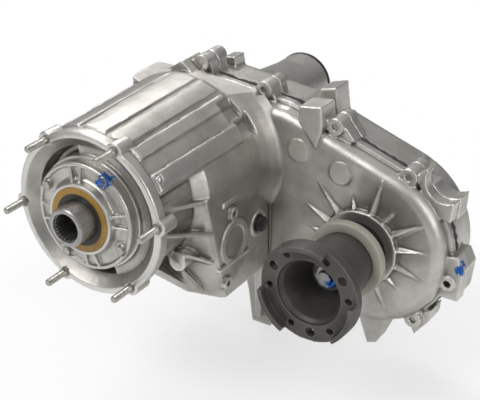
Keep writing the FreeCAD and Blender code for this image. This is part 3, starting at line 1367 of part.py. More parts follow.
NEEDLE_JOURNAL_R = 15.0
LIP_ANGLES = (95.0, 215.0, 335.0)
LIP_SPAN = 54.0
PILOT_HOLE_R = 5.8
PILOT_HOLE_ANGLES = (154.0, 34.0, 274.0)


def output_flange():
    """The dished drive flange with its three pilot lips and two sets of holes."""
    face = S.flange_face
    back = face + S.flange_thick
    spline = 14 + S.fit_gap
    profile = (
        (spline, 150), (22, 150), (S.flange_cup - 4, face + 8), (S.flange_cup, face + 3), (S.flange_cup, face),
        (S.flange_radius, face), (S.flange_radius, back - 2), (S.flange_radius - 2, back), (47, back),
        (45.5, back + 3), (S.flange_barrel_r + 2, 180), (S.flange_barrel_r, 186), (S.flange_barrel_r, 195),
        (S.flange_hub_r, 195), (S.flange_hub_r, 225.6), (spline, 225.6))
    turning = turned_body("flange_turning", profile)
    lips = []
    for index, angle in enumerate(LIP_ANGLES, start=1):
        whole = sector(f"lip_whole_{index}", S.flange_radius - 0.6, S.flange_radius, face - S.flange_lip,
                       S.flange_lip + 2, angle - LIP_SPAN / 2, LIP_SPAN)
        core = rod(f"lip_core_{index}", S.flange_radius - 6.5, face - S.flange_lip - 2, S.flange_lip + 6)
        lips.append(cut(f"lip_{index}", whole, [core]))
    solid = fuse("flange_solid", [turning, *lips])
    holes = []
    for index in range(6):
        x, z = on_ring(S.flange_hole_circle, 5 + 60 * index)
        holes.append(rod(f"flange_hole_{index + 1}", S.flange_hole_r, face - 2, 24, x, z))
    for index, angle in enumerate(PILOT_HOLE_ANGLES, start=1):
        x, z = on_ring(S.flange_hole_circle, angle)
        holes.append(rod(f"pilot_hole_{index}", PILOT_HOLE_R, face - 2, 24, x, z))
    flange = cut("output_flange", solid, holes)
    place(flange, S.front_line_x, 0, S.front_line_z)
    return keep("output_flange", flange)


def flange_nut():
    nut = hex_bar(27, 140.5, 7.5).cut(y_cylinder(9.02, 130, 40))
    collar = y_cylinder(16, 147.4, 1.6).cut(y_cylinder(9.02, 130, 40))
    part = feature("flange_nut", nut.fuse(collar).removeSplitter())
    place(part, S.front_line_x, 0, S.front_line_z)
    return keep("flange_nut", part)


def flange_small_parts():
    x, z = S.front_line_x, S.front_line_z
    keep("flange_washer", ring_body("flange_washer", 9.1, 20, 149, 1.0, x, z))
    profile = (
        (S.flange_barrel_r + 0.02, 187), (S.dust_ring_r - 1.5, 187), (S.dust_ring_r, 188.5), (S.dust_ring_r, 198),
        (S.dust_ring_r - 2.5, 198), (S.dust_ring_r - 2.5, 190), (S.flange_barrel_r + 0.02, 190))
    keep("dust_ring", turned_body("dust_ring", profile, x, z))


# ---------------------------------------------------------------- shift parts

ARM_SPAN = 176.0


def fork(label, plate_y, inner, outer, hub_start, hub_length, follower=None):
    """A shift fork: two arms round a groove, a web to the rail and a hub that slides on it."""
    toward = math.degrees(math.atan2(S.rail_z.value, S.rail_x.value))
    reach = math.hypot(S.rail_x.value, S.rail_z.value)
    plate = plate_y + 0.3
    thick = S.groove_width - 0.6
    whole = sector(f"{label}_arms_whole", outer, outer, plate, thick, toward - ARM_SPAN / 2, ARM_SPAN)
    core = rod(f"{label}_arms_core", inner, plate - 2, thick + 4)
    arms = cut(f"{label}_arms", whole, [core])
    web = block(f"{label}_web", inner + 3, plate, -9, reach - inner - 3, thick, 18)
    web.Placement.Rotation = Rotation(Vector(0, 1, 0), -toward)
    angle = math.radians(toward)
    start = size(inner).value + 3
    place(
        web, start * math.cos(angle) + 9 * math.sin(angle), plate, start * math.sin(angle) - 9 * math.cos(angle))
    hub = rod(f"{label}_hub", FORK_HUB_R, hub_start, hub_length, S.rail_x, S.rail_z)
    pieces = [arms, web, hub]
    if follower is not None:
        pieces.append(follower)
    bore = rod(
        f"{label}_bore", S.rail_radius + S.fit_gap, hub_start - 10, hub_length + 20, S.rail_x, S.rail_z)
    return keep(label, cut(label, fuse(f"{label}_solid", pieces), [bore]))


FORK_HUB_R = 12.5
FOLLOWER_Y = 133.0


def follower_line():
    """Angle from the rail to the cam, the gap between their axes."""
    across = S.cam_x.value - S.rail_x.value
    up = S.cam_z.value - S.rail_z.value
    return math.atan2(up, across), math.hypot(across, up)


def cam_follower():
    angle, distance = follower_line()
    length = distance - S.cam_radius.value - 10 + CAM_GROOVE_DEPTH - 0.5
    pin = Part.makeCylinder(
        S.follower_radius.value, length,
        Vector(10 * math.cos(angle), 0, 10 * math.sin(angle)), Vector(math.cos(angle), 0, math.sin(angle)))
    part = feature("cam_follower", pin)
    place(part, S.rail_x, FOLLOWER_Y, S.rail_z)
    return part


CAM_GROOVE_DEPTH = 4.0
CAM_PLAY = 0.12
CAM_RUN_OUT = 20.0


def selector_cam():
    """Drum cam: a quarter turn of its helical groove moves the range fork by its travel."""
    radius, travel, turn = S.cam_radius.value, S.range_travel.value, S.cam_turn.value
    floor, top = radius - CAM_GROOVE_DEPTH, radius + 4
    half = S.follower_radius.value + CAM_PLAY
    pitch = travel * 360 / turn
    low, high = (half / math.cos(math.atan(pitch / (2 * math.pi * r))) for r in (floor, top))
    corners = ((floor, -low), (top, -high), (top, high), (floor, low), (floor, -low))
    run_out = travel * CAM_RUN_OUT / turn
    helix = Part.makeHelix(pitch, travel + 2 * run_out, radius, 0, True)
    section = Part.makePolygon([Vector(r, 0, level) for r, level in corners])
    groove = Part.Wire(helix).makePipeShell([section], True, True)
    groove.rotate(Vector(), Vector(0, 0, 1), CAM_RUN_OUT)
    groove.translate(Vector(0, 0, -run_out))
    drum = Part.makeCylinder(radius, S.cam_length.value, Vector(0, 0, S.cam_front.value - FOLLOWER_Y))
    bore = Part.makeCylinder(S.selector_radius.value, 200, Vector(0, 0, -100))
    shape = drum.cut(groove).cut(bore)
    cam = feature("selector_cam", shape)
    toward = math.degrees(follower_line()[0]) + 180
    cam.Placement = Placement(Vector(), Rotation(Vector(0, 1, 0), -toward).multiply(ALONG_Y))
    place(cam, S.cam_x, FOLLOWER_Y, S.cam_z)
    return keep("selector_cam", cam)


def selector_shaft():
    start = S.cam_front - 13
    end = 344
    bar = rod("selector_bar", S.selector_radius, start, end - start, S.cam_x, S.cam_z)
    flat = block("selector_flat", S.cam_x - 10, end - 10, S.cam_z + 3.5, 20, 20, 10)
    return keep("selector_shaft", cut("selector_shaft", bar, [flat]))


# ---------------------------------------------------------------- plugs and small parts


def plugs():
    side = S.box_side.value
    rail_z = S.rail_z.value
    seat = side + 0.4
    detent = Part.makeCylinder(8, 16, Vector(seat - 16, PLUG_Y, rail_z), Vector(1, 0, 0))
    washer = Part.makeCylinder(11, 1.6, Vector(seat, PLUG_Y, rail_z), Vector(1, 0, 0))
    head = hex_bar(17, seat + 1.6, 6.5, PLUG_Y, rail_z, axis="x")
    keep("detent_plug", feature("detent_plug", detent.fuse(washer).fuse(head).removeSplitter()))
    for label, (x, z) in (("fill_plug", FILL_PLACE), ("drain_plug", DRAIN_PLACE)):
        rear = S.rear_y.value
        thread = y_cylinder(PLUG_THREAD_R, rear - 12, 12, x, z)
        flange = y_cylinder(12.5, rear, 2, x, z)
        head = hex_bar(16, rear + 2, 7, x, z).cut(hex_bar(8, rear + 4, 10, x, z))
        keep(label, feature(label, thread.fuse(flange).fuse(head).removeSplitter()))
    angle = math.radians(BALL_ANGLE)
    centre = Vector(BALL_SEAT * math.cos(angle), BALL_Y, BALL_SEAT * math.sin(angle))
    keep("gallery_ball_plug", feature("gallery_ball_plug", Part.makeSphere(BALL_R, centre)))
    keep("lug_bush", ring_body("lug_bush", 3.2, BUSH_R, S.joint_y + 18, 16, *BUSH_PLACE))


def tail_small_parts():
    mouth = S.slip_bore + 8
    keep("tail_bush", ring_body("tail_bush", S.slip_bore, mouth - 0.02, S.tail_end - 33, 24))
    lip = S.slip_bore
    profile = (
        (mouth - 0.02, S.tail_end - 7), (mouth - 0.02, S.tail_end), (S.tail_radius + 0.8, S.tail_end),
        (S.tail_radius + 0.8, S.tail_end + 4), (lip + 6, S.tail_end + 4.5), (lip + 1, S.tail_end + 3),
        (lip, S.tail_end + 1), (lip + 2, S.tail_end - 1), (lip + 4, S.tail_end - 7))
    keep("tail_seal", turned_body("tail_seal", profile))
    keep("oil_pump", ring_body("oil_pump", 19.4, S.tail_bore - 0.02, S.rear_y + 4, 15))
    tone = toothed_face(32, 27.5, 30.5, 0.5, 0.5, bore=19.0)
    keep("tone_ring", feature("tone_ring", pushed(tone, S.rear_y.value + 34, 8)))


def bearings():
    bearing("input_bearing", S.input_journal_r, S.input_bearing_r, S.input_bearing_y, S.input_bearing_w)
    bearing("rear_bearing", S.rear_journal_r, S.rear_bearing_r, S.rear_bearing_y, S.rear_bearing_w)
    bearing("output_bearing", S.output_journal_r, S.output_bearing_r, S.output_bearing_y, S.output_bearing_w,
            S.front_line_x, S.front_line_z)
    bearing("needle_bearing", NEEDLE_JOURNAL_R, NEEDLE_R, S.rear_bearing_y + 1, 15,
            S.front_line_x, S.front_line_z)


# ---------------------------------------------------------------- the assembly


def build():
    front_case()
    rear_case()
    case_sealant()
    tail_housing()
    input_retainer()
    shaft_seal("input_seal", S.seal_outer, S.hub_radius + S.fit_gap, -15, 10)
    shaft_seal("output_seal", S.output_seal_r, S.flange_hub_r + S.fit_gap, S.output_boss_y + 0.6, 7,
               S.front_line_x, S.front_line_z)
    input_studs()
    circle = [on_ring(RETAINER_CIRCLE, angle) for angle in RETAINER_ANGLES]
    bolt_group("retainer_bolts", circle, RETAINER_BOLT_R, 24, 10, -4.5, 1)
    rear_face = S.joint_y + S.sealant + REAR_BOSS
    bolt_group("case_bolts", rim_spots(), RIM_BOLT_R, 36, 13, rear_face, -1)
    circle = [on_ring(TAIL_CIRCLE, angle) for angle in TAIL_ANGLES]
    bolt_group("tail_bolts", circle, TAIL_BOLT_R, 19, 13, S.rear_y + 10, -1)
    bearings()
    input_gear()
    keep("pilot_bush", ring_body("pilot_bush", 11 + S.fit_gap, PILOT_BUSH_R, 44, 20))
    annulus_gear()
    carrier()
    planet_pins()
    planets()
    main_shaft()
    mode_hub()
    range_collar()
    mode_sleeve()
    drive_sprocket()
    driven_sprocket()
    chain()
    front_output_shaft()
    output_flange()
    flange_nut()
    flange_small_parts()
    keep("shift_rail", rod("shift_rail", S.rail_radius, 77, 238, S.rail_x, S.rail_z))
    fork("range_fork", S.groove_y, 29.4, 46, 120, 30, cam_follower())
    fork("mode_fork", S.joint_y - 16, 42.4, 54, 215, 37)
    selector_cam()
    selector_shaft()
    plugs()
    tail_small_parts()


def export():
    """Writes every sub-part after checking it and everything it is made from."""
    doc.recompute()
    broken = [thing.Name for thing in doc.Objects if {"Invalid", "Error"} & set(thing.State)]
    if broken:
        raise RuntimeError(f"did not rebuild: {broken}")
    os.makedirs(PARTS_FOLDER, exist_ok=True)
    for label, solid in EXPORTS.items():
        shape = solid.Shape
        if shape.isNull() or not shape.isValid() or shape.Volume < 1:
            raise RuntimeError(f"{label} has no valid solid")
        shape.exportStep(f"{PARTS_FOLDER}/{label}.step")


build()
export()
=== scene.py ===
"""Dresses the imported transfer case: cast skins, turned steel, fasteners, finishes, light and camera.

Everything is in metres in the part's own frame: shafts along Y, +Z up, the front output towards +X.
"""

import json
import logging
import math
from collections.abc import Iterable, Sequence
from dataclasses import dataclass
from enum import Enum

import bmesh
import bpy
import numpy as np
from mathutils import Matrix, Vector

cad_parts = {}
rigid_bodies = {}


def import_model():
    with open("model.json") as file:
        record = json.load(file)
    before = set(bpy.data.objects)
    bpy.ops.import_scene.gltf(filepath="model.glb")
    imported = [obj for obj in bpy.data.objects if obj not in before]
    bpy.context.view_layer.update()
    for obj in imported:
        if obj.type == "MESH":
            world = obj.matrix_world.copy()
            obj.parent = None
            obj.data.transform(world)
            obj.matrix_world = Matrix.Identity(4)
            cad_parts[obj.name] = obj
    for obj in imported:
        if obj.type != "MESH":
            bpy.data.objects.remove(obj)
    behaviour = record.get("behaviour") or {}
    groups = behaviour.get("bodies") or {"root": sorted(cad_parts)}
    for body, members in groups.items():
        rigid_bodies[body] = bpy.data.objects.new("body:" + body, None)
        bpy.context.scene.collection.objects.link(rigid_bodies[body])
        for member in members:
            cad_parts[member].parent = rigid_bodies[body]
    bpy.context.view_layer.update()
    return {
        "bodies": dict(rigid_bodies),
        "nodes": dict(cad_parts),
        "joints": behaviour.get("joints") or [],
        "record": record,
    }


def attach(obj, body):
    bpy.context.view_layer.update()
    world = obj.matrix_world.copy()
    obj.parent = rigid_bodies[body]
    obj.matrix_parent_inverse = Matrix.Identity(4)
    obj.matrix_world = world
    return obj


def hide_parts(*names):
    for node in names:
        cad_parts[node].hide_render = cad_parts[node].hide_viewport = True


LOG = logging.getLogger("transfer_case")
MM = 0.001
WHITE = (1.0, 1.0, 1.0, 1.0)

Colour = tuple[float, float, float]
Point = tuple[float, float, float]


class Axis(Enum):
    """Shaft lines of the case, as (x, z) in metres."""

    MAIN = (0.0, 0.0)
    FRONT_OUTPUT = (0.228, -0.080)


class Body(Enum):
    """Bodies that pieces of this scene ride on."""

    CASE = "case"
    INPUT = "input"
    FRONT_OUTPUT = "front_output"


# ---------------------------------------------------------------- shader groups


def new_group(name: str, inputs: Sequence[tuple[str, str, object]], outputs: Sequence[tuple[str, str]]):
    """Starts a shader node group.

    Args:
        name: Name of the group.
        inputs: (name, socket type, default) of each input.
        outputs: (name, socket type) of each output.

    Returns:
        The group, its input node and its output node.
    """
    group = bpy.data.node_groups.new(name, "ShaderNodeTree")
    for label, kind, default in inputs:
        socket = group.interface.new_socket(name=label, in_out="INPUT", socket_type=kind)
        socket.default_value = default
    for label, kind in outputs:
        group.interface.new_socket(name=label, in_out="OUTPUT", socket_type=kind)
    return group, group.nodes.new("NodeGroupInput"), group.nodes.new("NodeGroupOutput")


def noise(
    group: bpy.types.NodeTree, scale: object, detail: float = 4.0, roughness: float = 0.6
) -> bpy.types.Node:
    """A noise texture on Object coordinates.

    Args:
        group: Tree the node goes in.
        scale: A number, or a socket that gives the scale.
        detail: Octaves of the noise.
        roughness: Weight of the fine octaves.

    Returns:
        The noise node.
    """
    place = group.nodes.new("ShaderNodeTexCoord")
    node = group.nodes.new("ShaderNodeTexNoise")
    node.inputs["Detail"].default_value = detail
    node.inputs["Roughness"].default_value = roughness
    group.links.new(place.outputs["Object"], node.inputs["Vector"])
    if isinstance(scale, (int, float)):
        node.inputs["Scale"].default_value = scale
    else:
        group.links.new(scale, node.inputs["Scale"])
    return node


def ramp(group: bpy.types.NodeTree, source, low: float, high: float) -> bpy.types.NodeSocket:
    """Stretches a value between two levels to the range from 0 to 1, clamped."""
    node = group.nodes.new("ShaderNodeMapRange")
    node.inputs["From Min"].default_value = low
    node.inputs["From Max"].default_value = high
    group.links.new(source, node.inputs["Value"])
    return node.outputs["Result"]


def blend_colours(group: bpy.types.NodeTree, factor, first, second) -> bpy.types.NodeSocket:
    """Mixes two colour sockets, or colours given as values, by a factor socket."""
    node = group.nodes.new("ShaderNodeMix")
    node.data_type = "RGBA"
    for socket, value in ((node.inputs[0], factor), (node.inputs[6], first), (node.inputs[7], second)):
        if isinstance(value, bpy.types.NodeSocket):
            group.links.new(value, socket)
        elif isinstance(value, (int, float)):
            socket.default_value = value
        else:
            socket.default_value = (*value, 1.0)
    return node.outputs[2]


def calculate(group: bpy.types.NodeTree, operation: str, *values) -> bpy.types.NodeSocket:
    """One Math node on sockets or plain numbers."""
    node = group.nodes.new("ShaderNodeMath")
    node.operation = operation
    for socket, value in zip(node.inputs, values):
        if isinstance(value, bpy.types.NodeSocket):
            group.links.new(value, socket)
        else:
            socket.default_value = value
    return node.outputs[0]


def split_axes(group: bpy.types.NodeTree, vector: bpy.types.NodeSocket) -> bpy.types.NodeSocket:
    """The X, Y and Z outputs of a vector."""
    split = group.nodes.new("ShaderNodeSeparateXYZ")
    group.links.new(vector, split.inputs[0])
    return split.outputs


def shaft_distance(group: bpy.types.NodeTree, axes) -> bpy.types.NodeSocket:
    """Distance from the Y axis of a point given by its split axes."""
    across = calculate(group, "MULTIPLY", axes["X"], axes["X"])
    up = calculate(group, "MULTIPLY", axes["Z"], axes["Z"])
    return calculate(group, "SQRT", calculate(group, "ADD", across, up))


def make_cast_grain_and_painted_light() -> bpy.types.NodeTree:
    """The skin of a casting: fine grain as height, soft stains as a mask, and from the mesh the masks for
    painted shade in its crevices and painted highlight on its edges.
    """
    group, entry, leave = new_group(
        "cast_grain_and_painted_light",
        (("Grain size", "NodeSocketFloat", 900.0), ("Stain size", "NodeSocketFloat", 22.0)),
        (("Height", "NodeSocketFloat"), ("Stain", "NodeSocketFloat"), ("Painted shade", "NodeSocketFloat"),
         ("Edge", "NodeSocketFloat")),
    )
    fine = noise(group, entry.outputs["Grain size"], 3.0, 0.7)
    coarse = noise(group, 160.0, 3.0, 0.55)
    height = calculate(group, "MULTIPLY_ADD", coarse.outputs["Fac"], 0.8, fine.outputs["Fac"])
    stain = noise(group, entry.outputs["Stain size"], 5.0, 0.62)
    # Masks read from the mesh: painted shade for crevices, painted highlight for edges.
    painted_shade_node = group.nodes.new("ShaderNodeAttribute")
    painted_shade_node.attribute_name = "painted_shade"
    edge = group.nodes.new("ShaderNodeAttribute")
    edge.attribute_name = "edge"
    group.links.new(height, leave.inputs["Height"])
    group.links.new(ramp(group, stain.outputs["Fac"], 0.38, 0.66), leave.inputs["Stain"])
    group.links.new(painted_shade_node.outputs["Fac"], leave.inputs["Painted shade"])
    group.links.new(edge.outputs["Fac"], leave.inputs["Edge"])
    return group


def make_turned_grain() -> bpy.types.NodeTree:
    """Lathe marks: fine rings that follow the distance from a shaft line, as height and tint."""
    group, entry, leave = new_group(
        "turned_grain",
        (("Centre", "NodeSocketVector", (0.0, 0.0, 0.0)), ("Rings", "NodeSocketFloat", 2600.0)),
        (("Height", "NodeSocketFloat"), ("Tint", "NodeSocketFloat")),
    )
    place = group.nodes.new("ShaderNodeTexCoord")
    shift = group.nodes.new("ShaderNodeVectorMath")
    shift.operation = "SUBTRACT"
    group.links.new(place.outputs["Object"], shift.inputs[0])
    group.links.new(entry.outputs["Centre"], shift.inputs[1])
    axes = split_axes(group, shift.outputs[0])
    along = calculate(group, "ADD", shaft_distance(group, axes), axes["Y"])
    wave = calculate(group, "SINE", calculate(group, "MULTIPLY", along, entry.outputs["Rings"]))
    speck = noise(group, 420.0, 3.0)
    group.links.new(wave, leave.inputs["Height"])
    group.links.new(ramp(group, speck.outputs["Fac"], 0.35, 0.7), leave.inputs["Tint"])
    return group


DAB_RAGGEDNESS = 2.6
DAB_EDGE = (2.15, 2.02)


def make_spot_mask() -> bpy.types.NodeTree:
    """A rough-edged round spot about a point, as a mask: dabs of marking paint."""
    group, entry, leave = new_group(
        "spot_mask",
        (("Centre", "NodeSocketVector", (0.0, 0.0, 0.0)), ("Radius", "NodeSocketFloat", 0.005)),
        (("Mask", "NodeSocketFloat"),),
    )
    place = group.nodes.new("ShaderNodeTexCoord")
    away = group.nodes.new("ShaderNodeVectorMath")
    away.operation = "DISTANCE"
    group.links.new(place.outputs["Object"], away.inputs[0])
    group.links.new(entry.outputs["Centre"], away.inputs[1])
    ragged = noise(group, 210.0, 4.0)
    wobble = calculate(group, "MULTIPLY", ragged.outputs["Fac"], DAB_RAGGEDNESS)
    share = calculate(group, "DIVIDE", away.outputs["Value"], entry.outputs["Radius"])
    group.links.new(ramp(group, calculate(group, "ADD", share, wobble), *DAB_EDGE), leave.inputs["Mask"])
    return group


def make_core_mask() -> bpy.types.NodeTree:
    """What lies nearer to the input's shaft line than a radius, as a mask."""
    group, entry, leave = new_group(
        "core_mask", (("Radius", "NodeSocketFloat", 0.03),), (("Mask", "NodeSocketFloat"),))
    place = group.nodes.new("ShaderNodeTexCoord")
    axes = split_axes(group, place.outputs["Object"])
    share = calculate(group, "DIVIDE", shaft_distance(group, axes), entry.outputs["Radius"])
    group.links.new(ramp(group, share, 1.01, 0.99), leave.inputs["Mask"])
    return group


def make_cut_mask() -> bpy.types.NodeTree:
    """Faces that a cutter has planed square to the shafts at one level, as a mask."""
    group, entry, leave = new_group(
        "cut_mask", (("Level", "NodeSocketFloat", 0.0),), (("Mask", "NodeSocketFloat"),))
    place = group.nodes.new("ShaderNodeTexCoord")
    level = split_axes(group, place.outputs["Object"])["Y"]
    gap = calculate(group, "ABSOLUTE", calculate(group, "SUBTRACT", level, entry.outputs["Level"]))
    group.links.new(ramp(group, gap, 0.0008, 0.0004), leave.inputs["Mask"])
    return group


# ---------------------------------------------------------------- finishes


@dataclass(frozen=True)
class Dab:
    """A dab of marking paint: its centre and size."""

    at: Point
    radius: float


@dataclass(frozen=True)
class Groups:
    """The shader groups that the finishes share."""

    cast: bpy.types.NodeTree
    turned: bpy.types.NodeTree
    spot: bpy.types.NodeTree
    cut: bpy.types.NodeTree
    core: bpy.types.NodeTree


PLANED_METAL = (0.64, 0.63, 0.60)
PAINT_BLUE = (0.03, 0.12, 0.40)
CORE_BLACK = (0.02, 0.018, 0.016)


def lay_dabs(tree: bpy.types.NodeTree, groups: Groups, under, dabs: Sequence[Dab]) -> bpy.types.NodeSocket:
    """The colour with dabs of marking paint laid over it."""
    for dab in dabs:
        mask = tree.nodes.new("ShaderNodeGroup")
        mask.node_tree = groups.spot
        mask.inputs["Centre"].default_value = dab.at
        mask.inputs["Radius"].default_value = dab.radius
        under = blend_colours(tree, mask.outputs["Mask"], under, PAINT_BLUE)
    return under


@dataclass(frozen=True)
class CastFinish:
    """Bare cast aluminium: grey skin, blotchy stains, painted shade in the crevices and painted highlight
    on the edges.
    """

    name: str
    colour: Colour = (0.57, 0.55, 0.515)
    stain: Colour = (0.40, 0.385, 0.355)
    # Painted shade laid into crevices and painted highlight laid on edges, by the masks from the mesh.
    painted_shade: Colour = (0.14, 0.13, 0.12)
    edge: Colour = (0.66, 0.645, 0.61)
    grain_size: float = 1100.0
    bump: float = 0.42
    metallic: float = 0.94
    roughness: float = 0.30
    cut_levels: tuple[float, ...] = ()
    dabs: tuple[Dab, ...] = ()
    core: float = 0.0

    def make(self, groups: Groups) -> bpy.types.Material:
        """Builds the material.

        Args:
            groups: The shared shader groups.

        Returns:
            The finished material.
        """
        material = bpy.data.materials.new(self.name)
        material.use_nodes = True
        tree = material.node_tree
        shader = tree.nodes["Principled BSDF"]
        skin = tree.nodes.new("ShaderNodeGroup")
        skin.node_tree = groups.cast
        skin.inputs["Grain size"].default_value = self.grain_size
        stained = blend_colours(tree, skin.outputs["Stain"], self.colour, self.stain)
        # Painted highlight on the edges, then painted shade in the crevices.
        with_painted_highlight = blend_colours(tree, skin.outputs["Edge"], stained, self.edge)
        colour_with_painted_light = blend_colours(tree, skin.outputs["Painted shade"], with_painted_highlight, self.painted_shade)
        for level in self.cut_levels:
            colour_with_painted_light = self.planed(tree, groups, colour_with_painted_light, level)
        if self.core:
            mask = tree.nodes.new("ShaderNodeGroup")
            mask.node_tree = groups.core
            mask.inputs["Radius"].default_value = self.core
            colour_with_painted_light = blend_colours(tree, mask.outputs["Mask"], colour_with_painted_light, CORE_BLACK)
        tree.links.new(lay_dabs(tree, groups, colour_with_painted_light, self.dabs), shader.inputs["Base Color"])
        rough = tree.nodes.new("ShaderNodeMapRange")
        rough.inputs["To Min"].default_value = self.roughness
        rough.inputs["To Max"].default_value = self.roughness + 0.14
        tree.links.new(skin.outputs["Stain"], rough.inputs["Value"])
        tree.links.new(rough.outputs["Result"], shader.inputs["Roughness"])
        shader.inputs["Metallic"].default_value = self.metallic
        bump = tree.nodes.new("ShaderNodeBump")
        bump.inputs["Strength"].default_value = self.bump
        bump.inputs["Distance"].default_value = 0.0006
        tree.links.new(skin.outputs["Height"], bump.inputs["Height"])
        tree.links.new(bump.outputs["Normal"], shader.inputs["Normal"])
        return material

    def planed(self, tree: bpy.types.NodeTree, groups: Groups, under, level: float) -> bpy.types.NodeSocket:
        """The colour with the faces planed at a level laid over it in bright metal."""
        mask = tree.nodes.new("ShaderNodeGroup")
        mask.node_tree = groups.cut
        mask.inputs["Level"].default_value = level
        return blend_colours(tree, mask.outputs["Mask"], under, PLANED_METAL)


@dataclass(frozen=True)
class TurnedFinish:
    """Machined or plated metal with lathe marks round a shaft line."""

    name: str
    colour: Colour
    worn: Colour
    centre: Axis = Axis.MAIN
    rings: float = 2600.0
    bump: float = 0.05
    metallic: float = 0.9
    roughness: float = 0.3
    dabs: tuple[Dab, ...] = ()

    def make(self, groups: Groups) -> bpy.types.Material:
        """Builds the material.

        Args:
            groups: The shared shader groups.

        Returns:
            The finished material.
        """
        material = bpy.data.materials.new(self.name)
        material.use_nodes = True
        tree = material.node_tree
        shader = tree.nodes["Principled BSDF"]
        marks = tree.nodes.new("ShaderNodeGroup")
        marks.node_tree = groups.turned
        x, z = self.centre.value
        marks.inputs["Centre"].default_value = (x, 0.0, z)
        marks.inputs["Rings"].default_value = self.rings
        blotched = blend_colours(tree, marks.outputs["Tint"], self.colour, self.worn)
        tree.links.new(lay_dabs(tree, groups, blotched, self.dabs), shader.inputs["Base Color"])
        rough = tree.nodes.new("ShaderNodeMapRange")
        rough.inputs["To Min"].default_value = self.roughness
        rough.inputs["To Max"].default_value = self.roughness + 0.15
        tree.links.new(marks.outputs["Tint"], rough.inputs["Value"])
        tree.links.new(rough.outputs["Result"], shader.inputs["Roughness"])
        shader.inputs["Metallic"].default_value = self.metallic
        bump = tree.nodes.new("ShaderNodeBump")
        bump.inputs["Strength"].default_value = self.bump
        bump.inputs["Distance"].default_value = 0.0002
        tree.links.new(marks.outputs["Height"], bump.inputs["Height"])
        tree.links.new(bump.outputs["Normal"], shader.inputs["Normal"])
        return material


# In the finishes below, the darker colour for crevices is painted shade and the lighter colour for edges is
# painted highlight.
FINISHES = (
    CastFinish("cast_aluminium", cut_levels=(0.0, 0.262),
               dabs=(Dab((0.3585, 0.249, -0.077), 0.011), Dab((0.350, 0.242, -0.084), 0.008))),
    CastFinish("cover_aluminium", colour=(0.56, 0.545, 0.51), stain=(0.42, 0.41, 0.385), roughness=0.28,
               dabs=(Dab((0.031, -0.0045, 0.0525), 0.011),)),
    CastFinish("fork_aluminium", colour=(0.44, 0.44, 0.44)),
    CastFinish("dark_flange", colour=(0.088, 0.084, 0.076), stain=(0.062, 0.059, 0.053),
               painted_shade=(0.02, 0.019, 0.018), edge=(0.17, 0.165, 0.15), bump=0.2, metallic=0.45,
               roughness=0.42),
    CastFinish("sealant", colour=(0.018, 0.018, 0.018), stain=(0.03, 0.03, 0.03),
               painted_shade=(0.01, 0.01, 0.01), edge=(0.05, 0.05, 0.05), metallic=0.0, roughness=0.6),
    CastFinish("dust_ring", colour=(0.40, 0.38, 0.33), stain=(0.34, 0.32, 0.27),
               painted_shade=(0.16, 0.15, 0.12), edge=(0.48, 0.46, 0.41), bump=0.1, metallic=0.15,
               roughness=0.5),
    CastFinish("amber_seal", colour=(0.36, 0.205, 0.035), stain=(0.25, 0.13, 0.02),
               painted_shade=(0.05, 0.03, 0.015), edge=(0.50, 0.31, 0.09), bump=0.08, metallic=0.0,
               roughness=0.42, core=0.0312),
    CastFinish("black_seal", colour=(0.016, 0.016, 0.017), stain=(0.03, 0.03, 0.03),
               painted_shade=(0.008, 0.008, 0.008), edge=(0.06, 0.06, 0.06), bump=0.06, metallic=0.0,
               roughness=0.4),
    CastFinish("black_plug", colour=(0.022, 0.022, 0.024), stain=(0.035, 0.035, 0.036),
               painted_shade=(0.01, 0.01, 0.01), edge=(0.10, 0.10, 0.10), bump=0.05, metallic=0.4,
               roughness=0.33),
    TurnedFinish("zinc_fastener", (0.50, 0.48, 0.44), (0.30, 0.29, 0.27), roughness=0.3,
                 dabs=(Dab((0.0274, -0.013, 0.0501), 0.007),)),
    TurnedFinish("bearing_steel", (0.66, 0.66, 0.67), (0.55, 0.55, 0.56), roughness=0.2),
    TurnedFinish("machined_steel", (0.40, 0.39, 0.375), (0.25, 0.245, 0.24), roughness=0.27,
                 dabs=(Dab((0.238, 0.1405, -0.084), 0.011),)),
    TurnedFinish("chain_steel", (0.20, 0.20, 0.21), (0.12, 0.12, 0.12), roughness=0.35),
    TurnedFinish("bronze", (0.50, 0.34, 0.15), (0.36, 0.24, 0.10), roughness=0.35),
    TurnedFinish("copper", (0.50, 0.24, 0.13), (0.34, 0.15, 0.08), roughness=0.38),
)


class Finishes:
    """Builds every material once and hands them out by the record's slot."""

    def __init__(self) -> None:
        """Makes the shared groups and all the materials."""
        groups = Groups(
            make_cast_grain_and_painted_light(), make_turned_grain(), make_spot_mask(), make_cut_mask(), make_core_mask())
        self.by_slot = {finish.name: finish.make(groups) for finish in FINISHES}

    def slot_of(self, node: str, record: dict) -> str:
        """The record's material slot of a node."""
        return next(part["material_slot"] for part in record["subparts"] if part["node"] == node)


# ---------------------------------------------------------------- mesh tools


def link(mesh: bpy.types.Mesh, name: str) -> bpy.types.Object:
    """A scene object for a mesh, at the origin."""
    thing = bpy.data.objects.new(name, mesh)
    bpy.context.scene.collection.objects.link(thing)
    return thing


def copy_of(node: bpy.types.Object, name: str) -> bpy.types.Object:
    """A merged copy of a CAD node's mesh as an object of its own.

    Args:
        node: The CAD node's object.
        name: Name of the copy.

    Returns:
        The copy, in the part's frame.
    """
    mesh = node.data.copy()
    mesh.transform(node.matrix_world)
    mesh.materials.clear()
    work = bmesh.new()
    work.from_mesh(mesh)
    bmesh.ops.remove_doubles(work, verts=work.verts, dist=1e-6)
    work.to_mesh(mesh)
    work.free()
    mesh.name = name
    return link(mesh, name)


def apply_modifiers(thing: bpy.types.Object) -> None:
    """Turns an object's live modifiers into plain mesh."""
    seen = bpy.context.evaluated_depsgraph_get()
    mesh = bpy.data.meshes.new_from_object(thing.evaluated_get(seen))
    thing.modifiers.clear()
    thing.data = mesh


